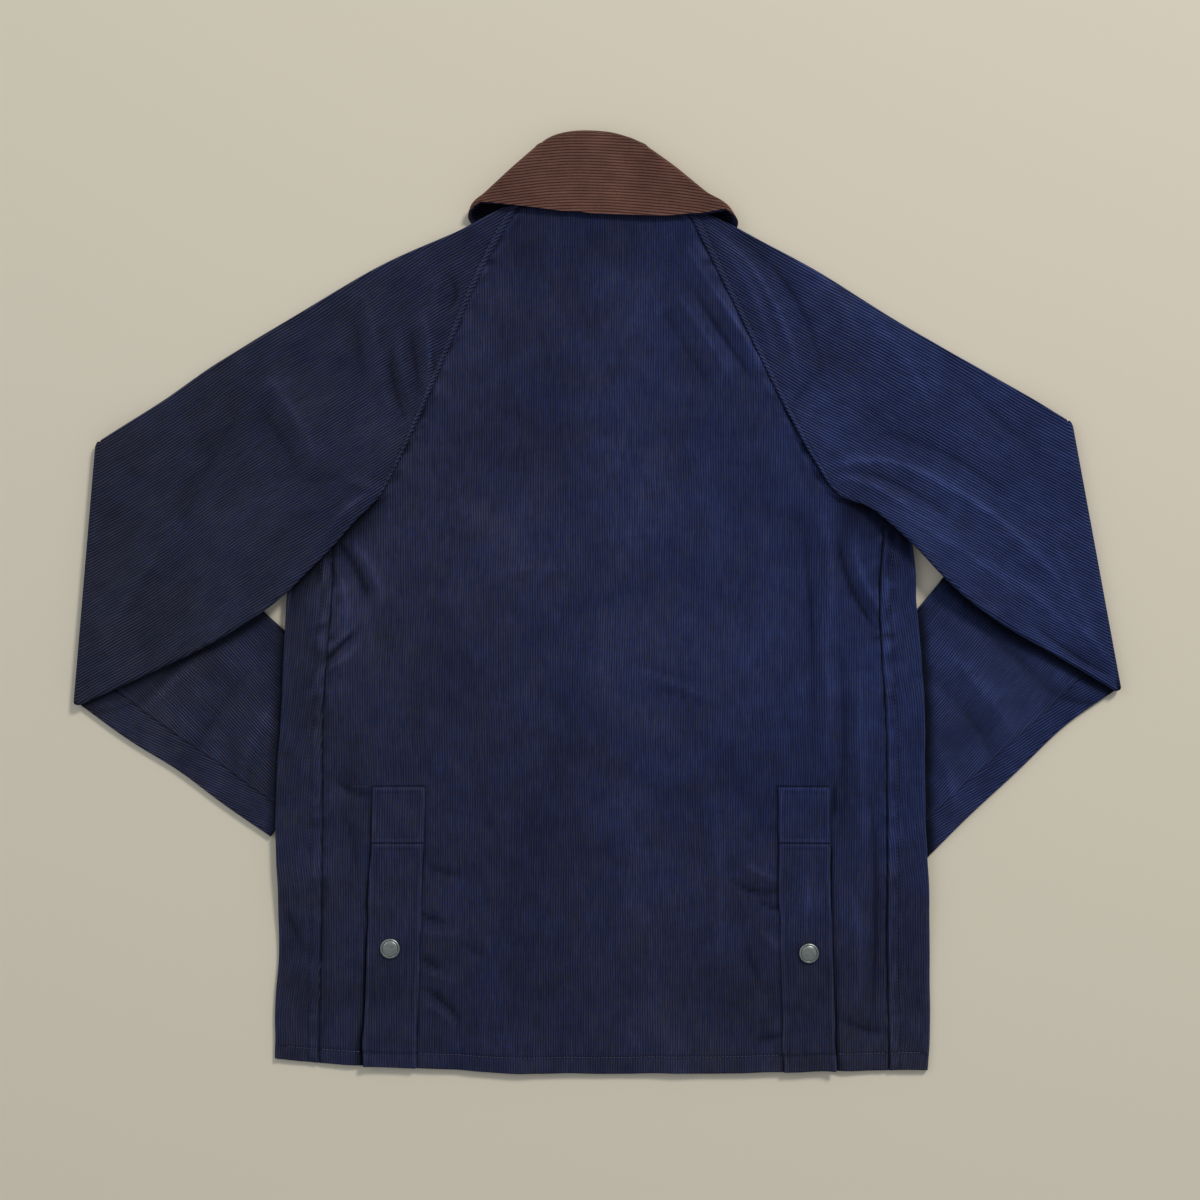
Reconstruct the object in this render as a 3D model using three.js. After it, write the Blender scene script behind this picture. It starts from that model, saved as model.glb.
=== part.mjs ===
// A corduroy hunting jacket laid out face down on a flat surface, zipped up, with both
// sleeves folded under at the elbow and the collar turned down.
//
// Millimetres, +Z up. X runs to the wearer's right, Y runs from the hem to the collar, and
// the origin is on the surface the jacket lies on, under the middle of its outline.
//
// Every piece of cloth is a closed wall. The body is a flattened tube: the fronts lie on the
// surface, turn up round the side edges and meet the back panel on top. Each sleeve is a
// flattened tube that bends half a turn about a line at the elbow, so that the forearm lies
// under the upper sleeve and runs on under the body. The collar is a flattened ring.
import * as THREE from "three";

// ---------------------------------------------------------------- driving dimensions
const CLOTH = 1.6; // corduroy wall
const AIR = 1.8; // air between the two layers of a flattened tube, at its folded edges
const TUBE = 2 * CLOTH + AIR; // thickness of a flattened tube at its edges
const SEAM = 0.3; // gap between pieces that are sewn together or lie on each other
const RAGLAN_GAP = 0.3; // half the gap along a raglan seam
const LEAST_AIR = 0.4; // least air left inside a tube where a crease presses it flat

const FOLD_CLEAR = SEAM / 2; // inside radius of the elbow fold
const FOLD_AXIS = TUBE + FOLD_CLEAR; // height of the line that the elbow bends about
const ON_FOREARM = TUBE + SEAM; // underside of what lies on a forearm
const DRAPE_MARGIN = 16; // cloth stays up this far beyond what it lies on
const DRAPE_REACH = 60; // and comes down over this distance
const ON_BODY = TUBE + 1; // underside of a sleeve where it lies on a corner of the body

const NECK_Y = 337; // back neckline, where the collar's stand is sewn on
const FRONT_NECK_Y = 236; // front neckline at the zip
const FRONT_TOP_Y = 322; // where a front ends in a point beside the collar
const COLLAR_PLY = 1.1; // one ply of the collar
const COLLAR_PLY_GAP = 0.15; // half the gap between the two plies
const COLLAR_STAND = 1.7; // mid-line of the stand, from the collar's middle plane
const COLLAR_ROLL = 1.5; // radius of the roll between stand and fall
const COLLAR_FALL = COLLAR_STAND + 2 * COLLAR_ROLL; // mid-line of the fall
const COLLAR_PLIES = COLLAR_PLY + COLLAR_PLY_GAP; // from the mid-line to an outer face
const COLLAR_MIDDLE = COLLAR_FALL + COLLAR_PLIES; // height of the collar's middle plane
const ON_COLLAR = 2 * COLLAR_PLIES + SEAM; // underside of what lies on the front fall

const ZIP = { chain: 5, tape: 28, tapeDepth: 1, gap: 0.4 };
const STUD = { radius: 8.5, height: 2.6, rim: 0.5, ring: 6.6, groove: 0.25 };
const VENT_TOP = -180; // top of each slit in the back panel, under its tab
const TAB = { top: -156.5, bottom: -204.5 };

// The body from hem to underarm: side edges, and the side seams that show on the back.
const BODY = [
  { y: -402, leftEdge: -274.5, leftSeam: -237.5, rightSeam: 248.5, rightEdge: 283 },
  { y: -350, leftEdge: -275, leftSeam: -237, rightSeam: 247.5, rightEdge: 284.3 },
  { y: -300, leftEdge: -271.5, leftSeam: -236, rightSeam: 246.5, rightEdge: 284 },
  { y: -200, leftEdge: -273, leftSeam: -234, rightSeam: 246, rightEdge: 281 },
  { y: -100, leftEdge: -270.5, leftSeam: -233.5, rightSeam: 245, rightEdge: 278 },
  { y: -40, leftEdge: -267, leftSeam: -230, rightSeam: 241, rightEdge: 275 },
  { y: 10, leftEdge: -264, leftSeam: -226, rightSeam: 239.6, rightEdge: 271 },
  { y: 64, leftEdge: -262, leftSeam: -228, rightSeam: 244, rightEdge: 266 },
];

// The back panel above the side seams: underarm curve, then the raglan seams.
const RAGLAN = [
  { y: 64, left: -228, right: 244 },
  { y: 76, left: -206, right: 244.6 },
  { y: 84, left: -193, right: 236 },
  { y: 90, left: -186, right: 209 },
  { y: 117, left: -171, right: 187 },
  { y: 162, left: -150, right: 162 },
  { y: 222, left: -124, right: 132 },
  { y: 282, left: -98, right: 102 },
  { y: NECK_Y, left: -66, right: 74 },
];
const UNDERARM_Y = 90; // where the raglan seams end at the underarm

// The hem across the back: lowest in the middle, with its left corner drawn up.
const HEM = [
  { x: -276, y: -388.5 },
  { x: -237, y: -392.5 },
  { x: -135, y: -397.8 },
  { x: -60, y: -401 },
  { x: 120, y: -401 },
  { x: 200, y: -399.5 },
  { x: 285, y: -398.6 },
];
const HEM_FADE = 70; // the hem's curve has died out this far up

// Each sleeve: sections from the raglan seam to the elbow, given by their ends on the
// shoulder edge and on the underarm edge.
const UPPER_SLEEVE = {
  left: [
    { at: 0, shoulderX: -66, shoulderY: NECK_Y, underarmX: -186, underarmY: UNDERARM_Y },
    { at: 0.15, shoulderX: -114, shoulderY: 319, underarmX: -212, underarmY: 63 },
    { at: 0.3, shoulderX: -179, shoulderY: 291.6, underarmX: -240, underarmY: 33 },
    { at: 0.5, shoulderX: -250, shoulderY: 251, underarmX: -277, underarmY: -2 },
    { at: 0.7, shoulderX: -322, shoulderY: 206.6, underarmX: -335, underarmY: -38 },
    { at: 0.85, shoulderX: -375, shoulderY: 169.5, underarmX: -392, underarmY: -65 },
    { at: 1, shoulderX: -422.5, shoulderY: 139, underarmX: -441.5, underarmY: -87 },
  ],
  right: [
    { at: 0, shoulderX: 74, shoulderY: NECK_Y, underarmX: 209, underarmY: UNDERARM_Y },
    { at: 0.15, shoulderX: 125, shoulderY: 314.5, underarmX: 236, underarmY: 78.5 },
    { at: 0.3, shoulderX: 180, shoulderY: 288, underarmX: 263, underarmY: 54.5 },
    { at: 0.5, shoulderX: 250, shoulderY: 245, underarmX: 300, underarmY: 16 },
    { at: 0.7, shoulderX: 315, shoulderY: 206.6, underarmX: 345, underarmY: -19 },
    { at: 0.85, shoulderX: 362, shoulderY: 179, underarmX: 396, underarmY: -48.5 },
    { at: 1, shoulderX: 399, shoulderY: 156.5, underarmX: 441.5, underarmY: -75 },
  ],
};
// And from the elbow to the cuff: the edge that faces the body, and the outer edge.
const FOREARM = {
  left: [
    { at: 0, innerX: -422.5, innerY: 139, outerX: -441.5, outerY: -87 },
    { at: 0.25, innerX: -366, innerY: 76, outerX: -400, outerY: -117 },
    { at: 0.5, innerX: -309, innerY: 16, outerX: -358, outerY: -143 },
    { at: 0.75, innerX: -253, innerY: -36, outerX: -319, outerY: -172 },
    { at: 1, innerX: -196, innerY: -84, outerX: -279, outerY: -199.5 },
  ],
  right: [
    { at: 0, innerX: 399, innerY: 156.5, outerX: 441.5, outerY: -75 },
    { at: 0.25, innerX: 342, innerY: 85, outerX: 400, outerY: -104 },
    { at: 0.5, innerX: 288, innerY: 13, outerX: 358, outerY: -144 },
    { at: 0.75, innerX: 231, innerY: -52, outerX: 317, outerY: -182 },
    { at: 1, innerX: 175.5, innerY: -116.5, outerX: 275, outerY: -224 },
  ],
};

// The collar: rows from its fold line (0) to its free edge (1). The back part runs from
// backLeft to backRight through backMiddle; at each side the band turns under, and its
// front part runs from frontLeft or frontRight to the zip.
const COLLAR_FALL_ROWS = [
  { at: 0, leftX: -44, leftY: 390, middleY: 398.6, rightX: 36, rightY: 390, underX: 0,
    underY: -3, frontX: 5, frontY: 262 },
  { at: 0.35, leftX: -67, leftY: 371, middleY: 376.5, rightX: 60, rightY: 372, underX: -1,
    underY: -4, frontX: 10, frontY: 238 },
  { at: 0.7, leftX: -89, leftY: 351, middleY: 353, rightX: 86, rightY: 350, underX: -3,
    underY: -9, frontX: 18, frontY: 214 },
  { at: 1, leftX: -99, leftY: 340, middleY: 330, rightX: 106, rightY: 334, underX: -4.5,
    underY: -14.5, frontX: 28, frontY: 193 },
];
// And from the fold line (0) down the stand to the neckline (1).
const COLLAR_STAND_ROWS = [
  { at: 0, leftX: -44, leftY: 390, middleY: 398.6, rightX: 36, rightY: 390, underX: 0,
    underY: -3, frontX: 5, frontY: 262 },
  { at: 0.5, leftX: -51, leftY: 365, middleY: 369, rightX: 48, rightY: 365, underX: 0,
    underY: -3, frontX: 5, frontY: 252 },
  { at: 1, leftX: -58, leftY: 338.5, middleY: 337.6, rightX: 64, rightY: 338.5, underX: 1,
    underY: -3, frontX: 5, frontY: 240 },
];
const FRONT_ROLL = { x: 0.95, y: 0.31 }; // the way its roll points on a front, towards the neck
const NECK_GAP = 0.8; // from a front's neckline to the collar's stand
const FRONT_BOW = { x: 15.6, y: -7.8 }; // how far its front parts bow out from straight lines

// The lines down the back panel that its cells follow, as shares of its width at the hem and
// from the vents' tabs upwards. The strips and tabs sewn on it take the same lines.
const BACK_LINES = [
  { hem: 0, tab: 0 },
  { hem: 0.038, tab: 0.044 },
  { hem: 0.0763, tab: 0.0877, vent: "left" },
  { hem: 0.1077, tab: 0.1181, vent: "left", slit: true },
  { hem: 0.1107, tab: 0.1211, vent: "left" },
  { hem: 0.1696, tab: 0.1808, vent: "left" },
  { hem: 0.235, tab: 0.243 },
  { hem: 0.3, tab: 0.306 },
  { hem: 0.365, tab: 0.369 },
  { hem: 0.43, tab: 0.432 },
  { hem: 0.495, tab: 0.495 },
  { hem: 0.56, tab: 0.558 },
  { hem: 0.625, tab: 0.621 },
  { hem: 0.69, tab: 0.684 },
  { hem: 0.752, tab: 0.746 },
  { hem: 0.8146, tab: 0.8079, vent: "right" },
  { hem: 0.8719, tab: 0.8641, vent: "right", slit: true },
  { hem: 0.8749, tab: 0.8671, vent: "right" },
  { hem: 0.9072, tab: 0.8985, vent: "right" },
  { hem: 0.954, tab: 0.95 },
  { hem: 1, tab: 1 },
];
const STUD_AT = { left: { x: -176.5, y: -294 }, right: { x: 180, y: -298 } };

// The largest creases on top: soft ridges (height above 0) and troughs (below 0) along a
// line, with their half width.
const CREASES = [
  { fromX: 74, fromY: 296, toX: 137, toY: 198, width: 11, height: 2.6 },
  { fromX: 84, fromY: 262, toX: 124, toY: 190, width: 11, height: -1.4 },
  { fromX: 104, fromY: 314, toX: 168, toY: 222, width: 11, height: 2.4 },
  { fromX: 190, fromY: 122, toX: 242, toY: 126, width: 12, height: 2.4 },
  { fromX: 242, fromY: 126, toX: 300, toY: 102, width: 13, height: 3.0 },
  { fromX: 300, fromY: 102, toX: 386, toY: 60, width: 15, height: 2.2 },
  { fromX: 212, fromY: 106, toX: 262, toY: 78, width: 10, height: 2.2 },
  { fromX: 262, fromY: 78, toX: 336, toY: 36, width: 13, height: 2.2 },
  { fromX: -174, fromY: 220, toX: -164, toY: 156, width: 10, height: -1.5 },
  { fromX: -152, fromY: 240, toX: -146, toY: 190, width: 9, height: 2.4 },
  { fromX: -196, fromY: 226, toX: -176, toY: 128, width: 11, height: 2.0 },
  { fromX: -290, fromY: 200, toX: -236, toY: 134, width: 14, height: 1.8 },
  { fromX: -204, fromY: -46, toX: -214, toY: 0, width: 11, height: 1.8 },
  { fromX: 212, fromY: 10, toX: 226, toY: -120, width: 14, height: 1.8 },
  { fromX: 0, fromY: -66, toX: 150, toY: -78, width: 13, height: 1.2 },
];

// ---------------------------------------------------------------- small tools
const clamp = (value, low, high) => Math.min(high, Math.max(low, value));
const mix = (a, b, t) => a + (b - a) * t;
const ease = (t) => {
  const s = clamp(t, 0, 1);
  return s * s * (3 - 2 * s);
};
const steps = (count, from = 0, to = 1) =>
  Array.from({ length: count + 1 }, (_, i) => mix(from, to, i / count));

// A smooth reading of one column of a table at any value of its key column.
function read(table, key, column, value) {
  const last = table.length - 1;
  const found = table.findIndex((row) => row[key] > value);
  const i = found < 0 ? last - 1 : Math.max(0, found - 1);
  const slope = (k) => {
    const [a, b] = [table[Math.max(0, k - 1)], table[Math.min(last, k + 1)]];
    return (b[column] - a[column]) / (b[key] - a[key]);
  };
  const [from, to] = [table[i], table[i + 1]];
  const span = to[key] - from[key];
  const t = clamp((value - from[key]) / span, 0, 1);
  const [t2, t3] = [t * t, t * t * t];
  return (
    from[column] * (2 * t3 - 3 * t2 + 1) +
    slope(i) * span * (t3 - 2 * t2 + t) +
    to[column] * (3 * t2 - 2 * t3) +
    slope(i + 1) * span * (t3 - t2)
  );
}

// How far a point lies outside a convex outline, whose corners run anticlockwise.
function outside(x, y, outline) {
  return Math.max(
    ...outline.map(([ax, ay], i) => {
      const [bx, by] = outline[(i + 1) % outline.length];
      return ((x - ax) * (by - ay) - (y - ay) * (bx - ax)) / Math.hypot(bx - ax, by - ay);
    }),
  );
}

// The height that cloth is held up by a thing of that outline and height under it.
const lift = (x, y, outline, height) =>
  height * (1 - ease((outside(x, y, outline) - DRAPE_MARGIN) / DRAPE_REACH));

// The closed solid between two grids of points. A cell is left out where keep says so, and
// around joins the last column to the first.
function wall(outer, inner, { around = false, keep = () => true } = {}) {
  const [rows, columns] = [outer.length, outer[0].length];
  const cellColumns = around ? columns : columns - 1;
  const used = (i, j) => {
    const column = around ? (j + cellColumns) % cellColumns : j;
    return i >= 0 && i < rows - 1 && column >= 0 && column < cellColumns && keep(i, column);
  };
  const triangles = [];
  const quad = (a, b, c, d) => triangles.push(a, b, c, a, c, d);
  for (let i = 0; i < rows - 1; i++) {
    for (let j = 0; j < cellColumns; j++) {
      if (!used(i, j)) continue;
      const k = (j + 1) % columns;
      quad(outer[i][j], outer[i][k], outer[i + 1][k], outer[i + 1][j]);
      quad(inner[i][j], inner[i + 1][j], inner[i + 1][k], inner[i][k]);
      if (!used(i - 1, j)) quad(outer[i][j], inner[i][j], inner[i][k], outer[i][k]);
      if (!used(i + 1, j)) quad(outer[i + 1][k], inner[i + 1][k], inner[i + 1][j], outer[i + 1][j]);
      if (!used(i, j - 1)) quad(outer[i + 1][j], inner[i + 1][j], inner[i][j], outer[i][j]);
      if (!used(i, j + 1)) quad(outer[i][k], inner[i][k], inner[i + 1][k], outer[i + 1][k]);
    }
  }
  return facingOut(triangles);
}

// A closed solid from corners of triangles, turned about if its faces point inwards.
function facingOut(corners) {
  const volume = corners.reduce(
    (sum, a, i) => (i % 3 ? sum : sum + a.dot(corners[i + 1].clone().cross(corners[i + 2]))),
    0,
  );
  return new THREE.BufferGeometry().setFromPoints(volume < 0 ? [...corners].reverse() : corners);
}

const point = (x, y, z) => new THREE.Vector3(x, y, z);

// ---------------------------------------------------------------- how high the cloth lies
const outlineOf = (rows, [ax, ay], [bx, by]) => {
  const first = rows[0];
  const last = rows[rows.length - 1];
  return [
    [first[ax], first[ay]],
    [first[bx], first[by]],
    [last[bx], last[by]],
    [last[ax], last[ay]],
  ];
};
const INNER = ["innerX", "innerY"];
const OUTER = ["outerX", "outerY"];
const LEFT_FOREARM = outlineOf(FOREARM.left, INNER, OUTER);
const RIGHT_FOREARM = outlineOf(FOREARM.right, OUTER, INNER);
const FRONT_COLLAR = [
  [-49, 394],
  [-110, 322],
  [-28, 191],
  [28, 191],
  [121, 320],
  [41, 394],
];
// The corners of the body that lie under the sleeves at the underarm.
const BODY_CORNERS = {
  left: [
    [-186, 90],
    [-228, 64],
    [-264, 27],
    [-268, 4],
  ],
  right: [
    [209, 89],
    [270, 40],
    [268, 58],
    [244, 78],
  ],
};

// The underside of the fronts, and of the sleeves.
const bodyFloor = (x, y) =>
  lift(x, y, LEFT_FOREARM, ON_FOREARM) +
  lift(x, y, RIGHT_FOREARM, ON_FOREARM) +
  lift(x, y, FRONT_COLLAR, ON_COLLAR);
const sleeveFloor = (side, x, y) => bodyFloor(x, y) + lift(x, y, BODY_CORNERS[side], ON_BODY);

// The relief of the creases at a point.
const relief = (x, y) =>
  CREASES.reduce((sum, { fromX, fromY, toX, toY, width, height }) => {
    const [dx, dy] = [toX - fromX, toY - fromY];
    const t = clamp(((x - fromX) * dx + (y - fromY) * dy) / (dx * dx + dy * dy), 0, 1);
    const off = Math.hypot(x - fromX - t * dx, y - fromY - t * dy);
    return sum + height * Math.exp(-((off / width) ** 2));
  }, 0);

// The body swells a little between its edges, and lies flat under the collar and sleeves.
const BODY_SWELL = 1.4;
const swell = (x, y) =>
  BODY_SWELL * clamp(1 - Math.abs(x / 238) ** 2.5, 0, 1) * (1 - ease((y - 230) / 80));
const pressed = (thickness) => Math.max(thickness, 2 * CLOTH + LEAST_AIR);
const covered = (x, y) => lift(x, y, BODY_CORNERS[x < 0 ? "left" : "right"], 1);
const bodyThickness = (x, y) =>
  pressed(TUBE + (swell(x, y) + relief(x, y)) * (1 - covered(x, y)));
const backTop = (x, y) => bodyFloor(x, y) + bodyThickness(x, y);

// ---------------------------------------------------------------- the body
const sideOf = {
  left: { sign: -1, edge: "leftEdge", seam: "leftSeam", raglan: "left" },
  right: { sign: 1, edge: "rightEdge", seam: "rightSeam", raglan: "right" },
};
const hemShift = (x, y) =>
  (read(HEM, "x", "y", x) + 402) * (1 - ease((y + 402) / HEM_FADE));

// The heights of the rows of cells in the body, up to the underarm and above it.
const LOW_ROWS = [-402, -386, -360, -330, -298, -266, -235, TAB.bottom, VENT_TOP, TAB.top, -130,
  -100, -70, -35, 0, 25, 45, 62, 76];
const RAGLAN_ROWS = steps(10, UNDERARM_Y, NECK_Y);
const BODY_ROWS = [...LOW_ROWS, 84, ...RAGLAN_ROWS];

// The straight reading of a line given by points in order of y.
function along(line, y) {
  const found = line.findIndex(([, at]) => at >= y);
  const i = clamp(found < 0 ? line.length - 1 : found, 1, line.length - 1);
  const [[ax, ay], [bx, by]] = [line[i - 1], line[i]];
  return mix(ax, bx, clamp((y - ay) / (by - ay), 0, 1));
}

// The edge of the back panel: the side seam, the underarm curve and the raglan seam. The
// sleeves and fronts follow the same straight steps from row to row.
const backEdgeLine = (side) =>
  BODY_ROWS.map((y) => [
    y <= 64 ? read(BODY, "y", sideOf[side].seam, y) : read(RAGLAN, "y", sideOf[side].raglan, y),
    y,
  ]);
const BACK_EDGE = { left: backEdgeLine("left"), right: backEdgeLine("right") };
const backEdge = (side, y) => along(BACK_EDGE[side], y);

// A point of the back panel's upper face, moved up or down.
function backPoint(line, level, up) {
  const gap = level < UNDERARM_Y ? SEAM / 2 : RAGLAN_GAP;
  const share = mix(line.hem, line.tab, clamp((level + 402) / (TAB.top + 402), 0, 1));
  const x = mix(backEdge("left", level) + gap, backEdge("right", level) - gap, share);
  const y = level + hemShift(x, level);
  return point(x, y, backTop(x, y) + up);
}

function backPanel() {
  const grid = (up) => BODY_ROWS.map((level) => BACK_LINES.map((line) => backPoint(line, level, up)));
  const inSlit = (i, j) => BACK_LINES[j].slit && BODY_ROWS[i] < VENT_TOP;
  return wall(grid(0), grid(-CLOTH), { keep: (i, j) => !inSlit(i, j) });
}

// A front lies on the surface from the zip to the side edge, turns up round the edge and
// comes back over the top to the side seam. Its upper corner there slants up to the seam.
const CORNER = { left: { y: 25, rise: 37 }, right: { y: 62, rise: 14 } };

function frontOuter(side, y) {
  const corner = CORNER[side].y;
  const edge = (at) => read(BODY, "y", sideOf[side].edge, at);
  if (y <= corner) return edge(y);
  if (y >= UNDERARM_Y) return backEdge(side, y);
  const t = (y - corner) / (UNDERARM_Y - corner);
  return mix(edge(corner), backEdge(side, UNDERARM_Y), t);
}

// The inner edge of a front: along the zip, then round the collar's stand.
const frontInner = (side, y) => {
  const neck = neckLine(side);
  const zipEdge = ZIP.chain / 2 + ZIP.gap;
  return y < neck[0][1] ? zipEdge : Math.max(zipEdge, Math.abs(along(neck, y)) + NECK_GAP);
};

function front(side) {
  const { sign, edge } = sideOf[side];
  const { y: corner, rise } = CORNER[side];
  const neckRows = neckLine(side).map(([, y]) => y).filter((y) => y < FRONT_TOP_Y);
  const rows = [
    ...LOW_ROWS,
    ...RAGLAN_ROWS.filter((y) => y < FRONT_NECK_Y),
    FRONT_NECK_Y,
    ...neckRows,
    FRONT_TOP_Y,
  ];
  const bend = TUBE / 2;
  const flat = steps(8);
  const turn = steps(4).slice(1);
  const over = steps(2).slice(1);
  const build = (depth) =>
    rows.map((level) => {
      const gap = level < UNDERARM_Y ? 0 : RAGLAN_GAP;
      const outer = Math.abs(frontOuter(side, level)) - gap - (level <= corner ? bend : 0);
      const inner = frontInner(side, level);
      const wrapped = Math.min(level, corner);
      const edgeX = Math.abs(read(BODY, "y", edge, wrapped));
      const under = flat.map((t) => {
        const x = sign * mix(inner, outer, t);
        const y = level + hemShift(x, level);
        return point(x, y, bodyFloor(x, y) + depth);
      });
      const round = turn.map((t) => {
        const angle = Math.PI * t;
        const x = sign * (edgeX - bend + (bend - depth) * Math.sin(angle));
        const y = wrapped + hemShift(x, wrapped);
        return point(x, y, bodyFloor(x, y) + bend - (bend - depth) * Math.cos(angle));
      });
      const raised = rise * ease((wrapped + 60) / (corner + 60));
      const seamX = Math.abs(backEdge(side, wrapped + raised)) + SEAM / 2;
      const top = over.map((t) => {
        const x = sign * mix(edgeX - bend, seamX, t);
        const y = wrapped + raised * t + hemShift(x, wrapped);
        return point(x, y, backTop(x, y) - depth);
      });
      return [...under, ...round, ...top];
    });
  const keep = (i, j) => j < flat.length - 1 || rows[i] < corner;
  return wall(build(0), build(CLOTH), { keep });
}

// ---------------------------------------------------------------- the sleeves
// Shares of the width across a flattened tube where its flat columns lie.
const ACROSS = steps(8, 0.1, 0.9);
const TIP = steps(4, -90, 90);

// One ring of a flattened tube: each entry gives the share across, how far it is set in from
// the nearer edge, and its height in the tube, for the wall's outer or inner face.
function ring(thickness, depth) {
  const tip = (share, turn) => {
    const radius = thickness(share) / 2;
    const angle = THREE.MathUtils.degToRad(turn);
    return {
      share,
      inset: radius - (radius - depth) * Math.cos(angle),
      height: radius + (radius - depth) * Math.sin(angle),
    };
  };
  return [
    ...[...TIP].reverse().map((turn) => tip(0, turn)),
    ...ACROSS.map((share) => ({ share, inset: 0, height: depth })),
    ...TIP.map((turn) => tip(1, turn)),
    ...[...ACROSS].reverse().map((share) => ({ share, inset: 0, height: thickness(share) - depth })),
  ];
}

// The point a share of the way across a section, moved in from its edge.
function acrossSection(low, high, share, inset) {
  const width = Math.hypot(high[0] - low[0], high[1] - low[1]);
  const t = share === 0 ? inset / width : share === 1 ? 1 - inset / width : share;
  return [mix(low[0], high[0], t), mix(low[1], high[1], t), t];
}

const UPPER_STEPS = [0, 0.035, 0.08, 0.14, 0.21, 0.29, 0.38, 0.47, 0.56, 0.65, 0.74, 0.83, 0.92, 1];
const FOLD_TURNS = steps(6, 0, 180).slice(1, -1);
const FOREARM_STEPS = steps(8);

function sleeve(side) {
  const { sign } = sideOf[side];
  const [upper, lower] = [UPPER_SLEEVE[side], FOREARM[side]];
  const pair = (rows, columns, at) => columns.map((column) => read(rows, "at", column, at));
  const ends = (rows, [lowX, lowY], [highX, highY], at) => [
    pair(rows, [lowX, lowY], at),
    pair(rows, [highX, highY], at),
  ];
  const elbow = ends(lower, OUTER, INNER, 0);
  const along = [elbow[1][0] - elbow[0][0], elbow[1][1] - elbow[0][1]];
  const length = Math.hypot(...along);
  const outward = [(sign * along[1]) / length, (-sign * along[0]) / length];

  const upperRing = (at, depth) => {
    const [low, high] = ends(upper, ["underarmX", "underarmY"], ["shoulderX", "shoulderY"], at);
    const nearSeam = 1 - ease(at / 0.3);
    const squeeze = (share) => 1 - 0.85 * (1 - ease(at / 0.22)) * (1 - ease(share / 0.3));
    const place = (share, inset) => {
      const [x, y, t] = acrossSection(low, high, share, inset);
      const seamY = mix(UNDERARM_Y, NECK_Y, t);
      const seamX = backEdge(side, seamY) + sign * RAGLAN_GAP;
      const straightX = mix(upper[0].underarmX, upper[0].shoulderX, t);
      return [x + nearSeam * (seamX - straightX), y];
    };
    const thickness = (share) => {
      const [x, y] = place(share, 0);
      const flat = share === 0 || share === 1 ? 0 : 1;
      const round = flat * 1.3 * (1 - Math.abs(2 * share - 1) ** 4);
      const swelled = mix(round, flat * swell(x, y), nearSeam);
      return pressed(2 * CLOTH + AIR * squeeze(share) + swelled + flat * relief(x, y));
    };
    return ring(thickness, depth).map(({ share, inset, height }) => {
      const [x, y] = place(share, inset);
      return point(x, y, sleeveFloor(side, x, y) + height);
    });
  };
  const foldRing = (turn, depth) => {
    const angle = THREE.MathUtils.degToRad(turn);
    return ring(() => TUBE, depth).map(({ share, inset, height }) => {
      const [x, y] = acrossSection(elbow[0], elbow[1], share, inset);
      const arm = FOLD_CLEAR + height;
      const out = arm * Math.sin(angle);
      return point(x + outward[0] * out, y + outward[1] * out, FOLD_AXIS + arm * Math.cos(angle));
    });
  };
  const forearmRing = (at, depth) => {
    const [low, high] = ends(lower, OUTER, INNER, at);
    return ring(() => TUBE, depth).map(({ share, inset, height }) => {
      const [x, y] = acrossSection(low, high, share, inset);
      return point(x, y, TUBE - height);
    });
  };
  const build = (depth) => [
    ...UPPER_STEPS.map((at) => upperRing(at, depth)),
    ...FOLD_TURNS.map((turn) => foldRing(turn, depth)),
    ...FOREARM_STEPS.map((at) => forearmRing(at, depth)),
  ];
  return wall(build(0), build(CLOTH), { around: true });
}

// ---------------------------------------------------------------- the collar
// Rows across the band, from the free edge over the roll to the neckline: which table and
// share give its line, how far the line moves up at the roll, and its distance from the
// collar's middle plane.
const COLLAR_ROWS = [
  ...steps(4, 1, 0).map((at) => ({ rows: COLLAR_FALL_ROWS, at, turn: 90 })),
  ...steps(4, 90, -90).slice(1, -1).map((turn) => ({ rows: COLLAR_FALL_ROWS, at: 0, turn })),
  ...steps(3).map((at) => ({ rows: COLLAR_STAND_ROWS, at, turn: -90 })),
];

// A line of the collar from the side, where it turns under, to the zip.
function collarFront(side, row, start) {
  const { sign } = sideOf[side];
  const [endX, endY] = [sign * row("frontX"), row("frontY")];
  return steps(6).map((t) => {
    const bow = Math.sin(Math.PI * t);
    return [
      mix(start[0], endX, t) + sign * FRONT_BOW.x * bow,
      mix(start[1], endY, t) + FRONT_BOW.y * bow,
    ];
  });
}
// Where such a line starts.
const collarTurn = (side, row) =>
  side === "left"
    ? [row("leftX") + row("underX"), row("leftY") + row("underY")]
    : [row("rightX") - row("underX"), row("rightY") + row("underY")];
// The neckline of a front, from the zip upwards.
function neckLine(side) {
  const row = (column) => read(COLLAR_STAND_ROWS, "at", column, 1);
  return collarFront(side, row, collarTurn(side, row)).reverse();
}

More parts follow.
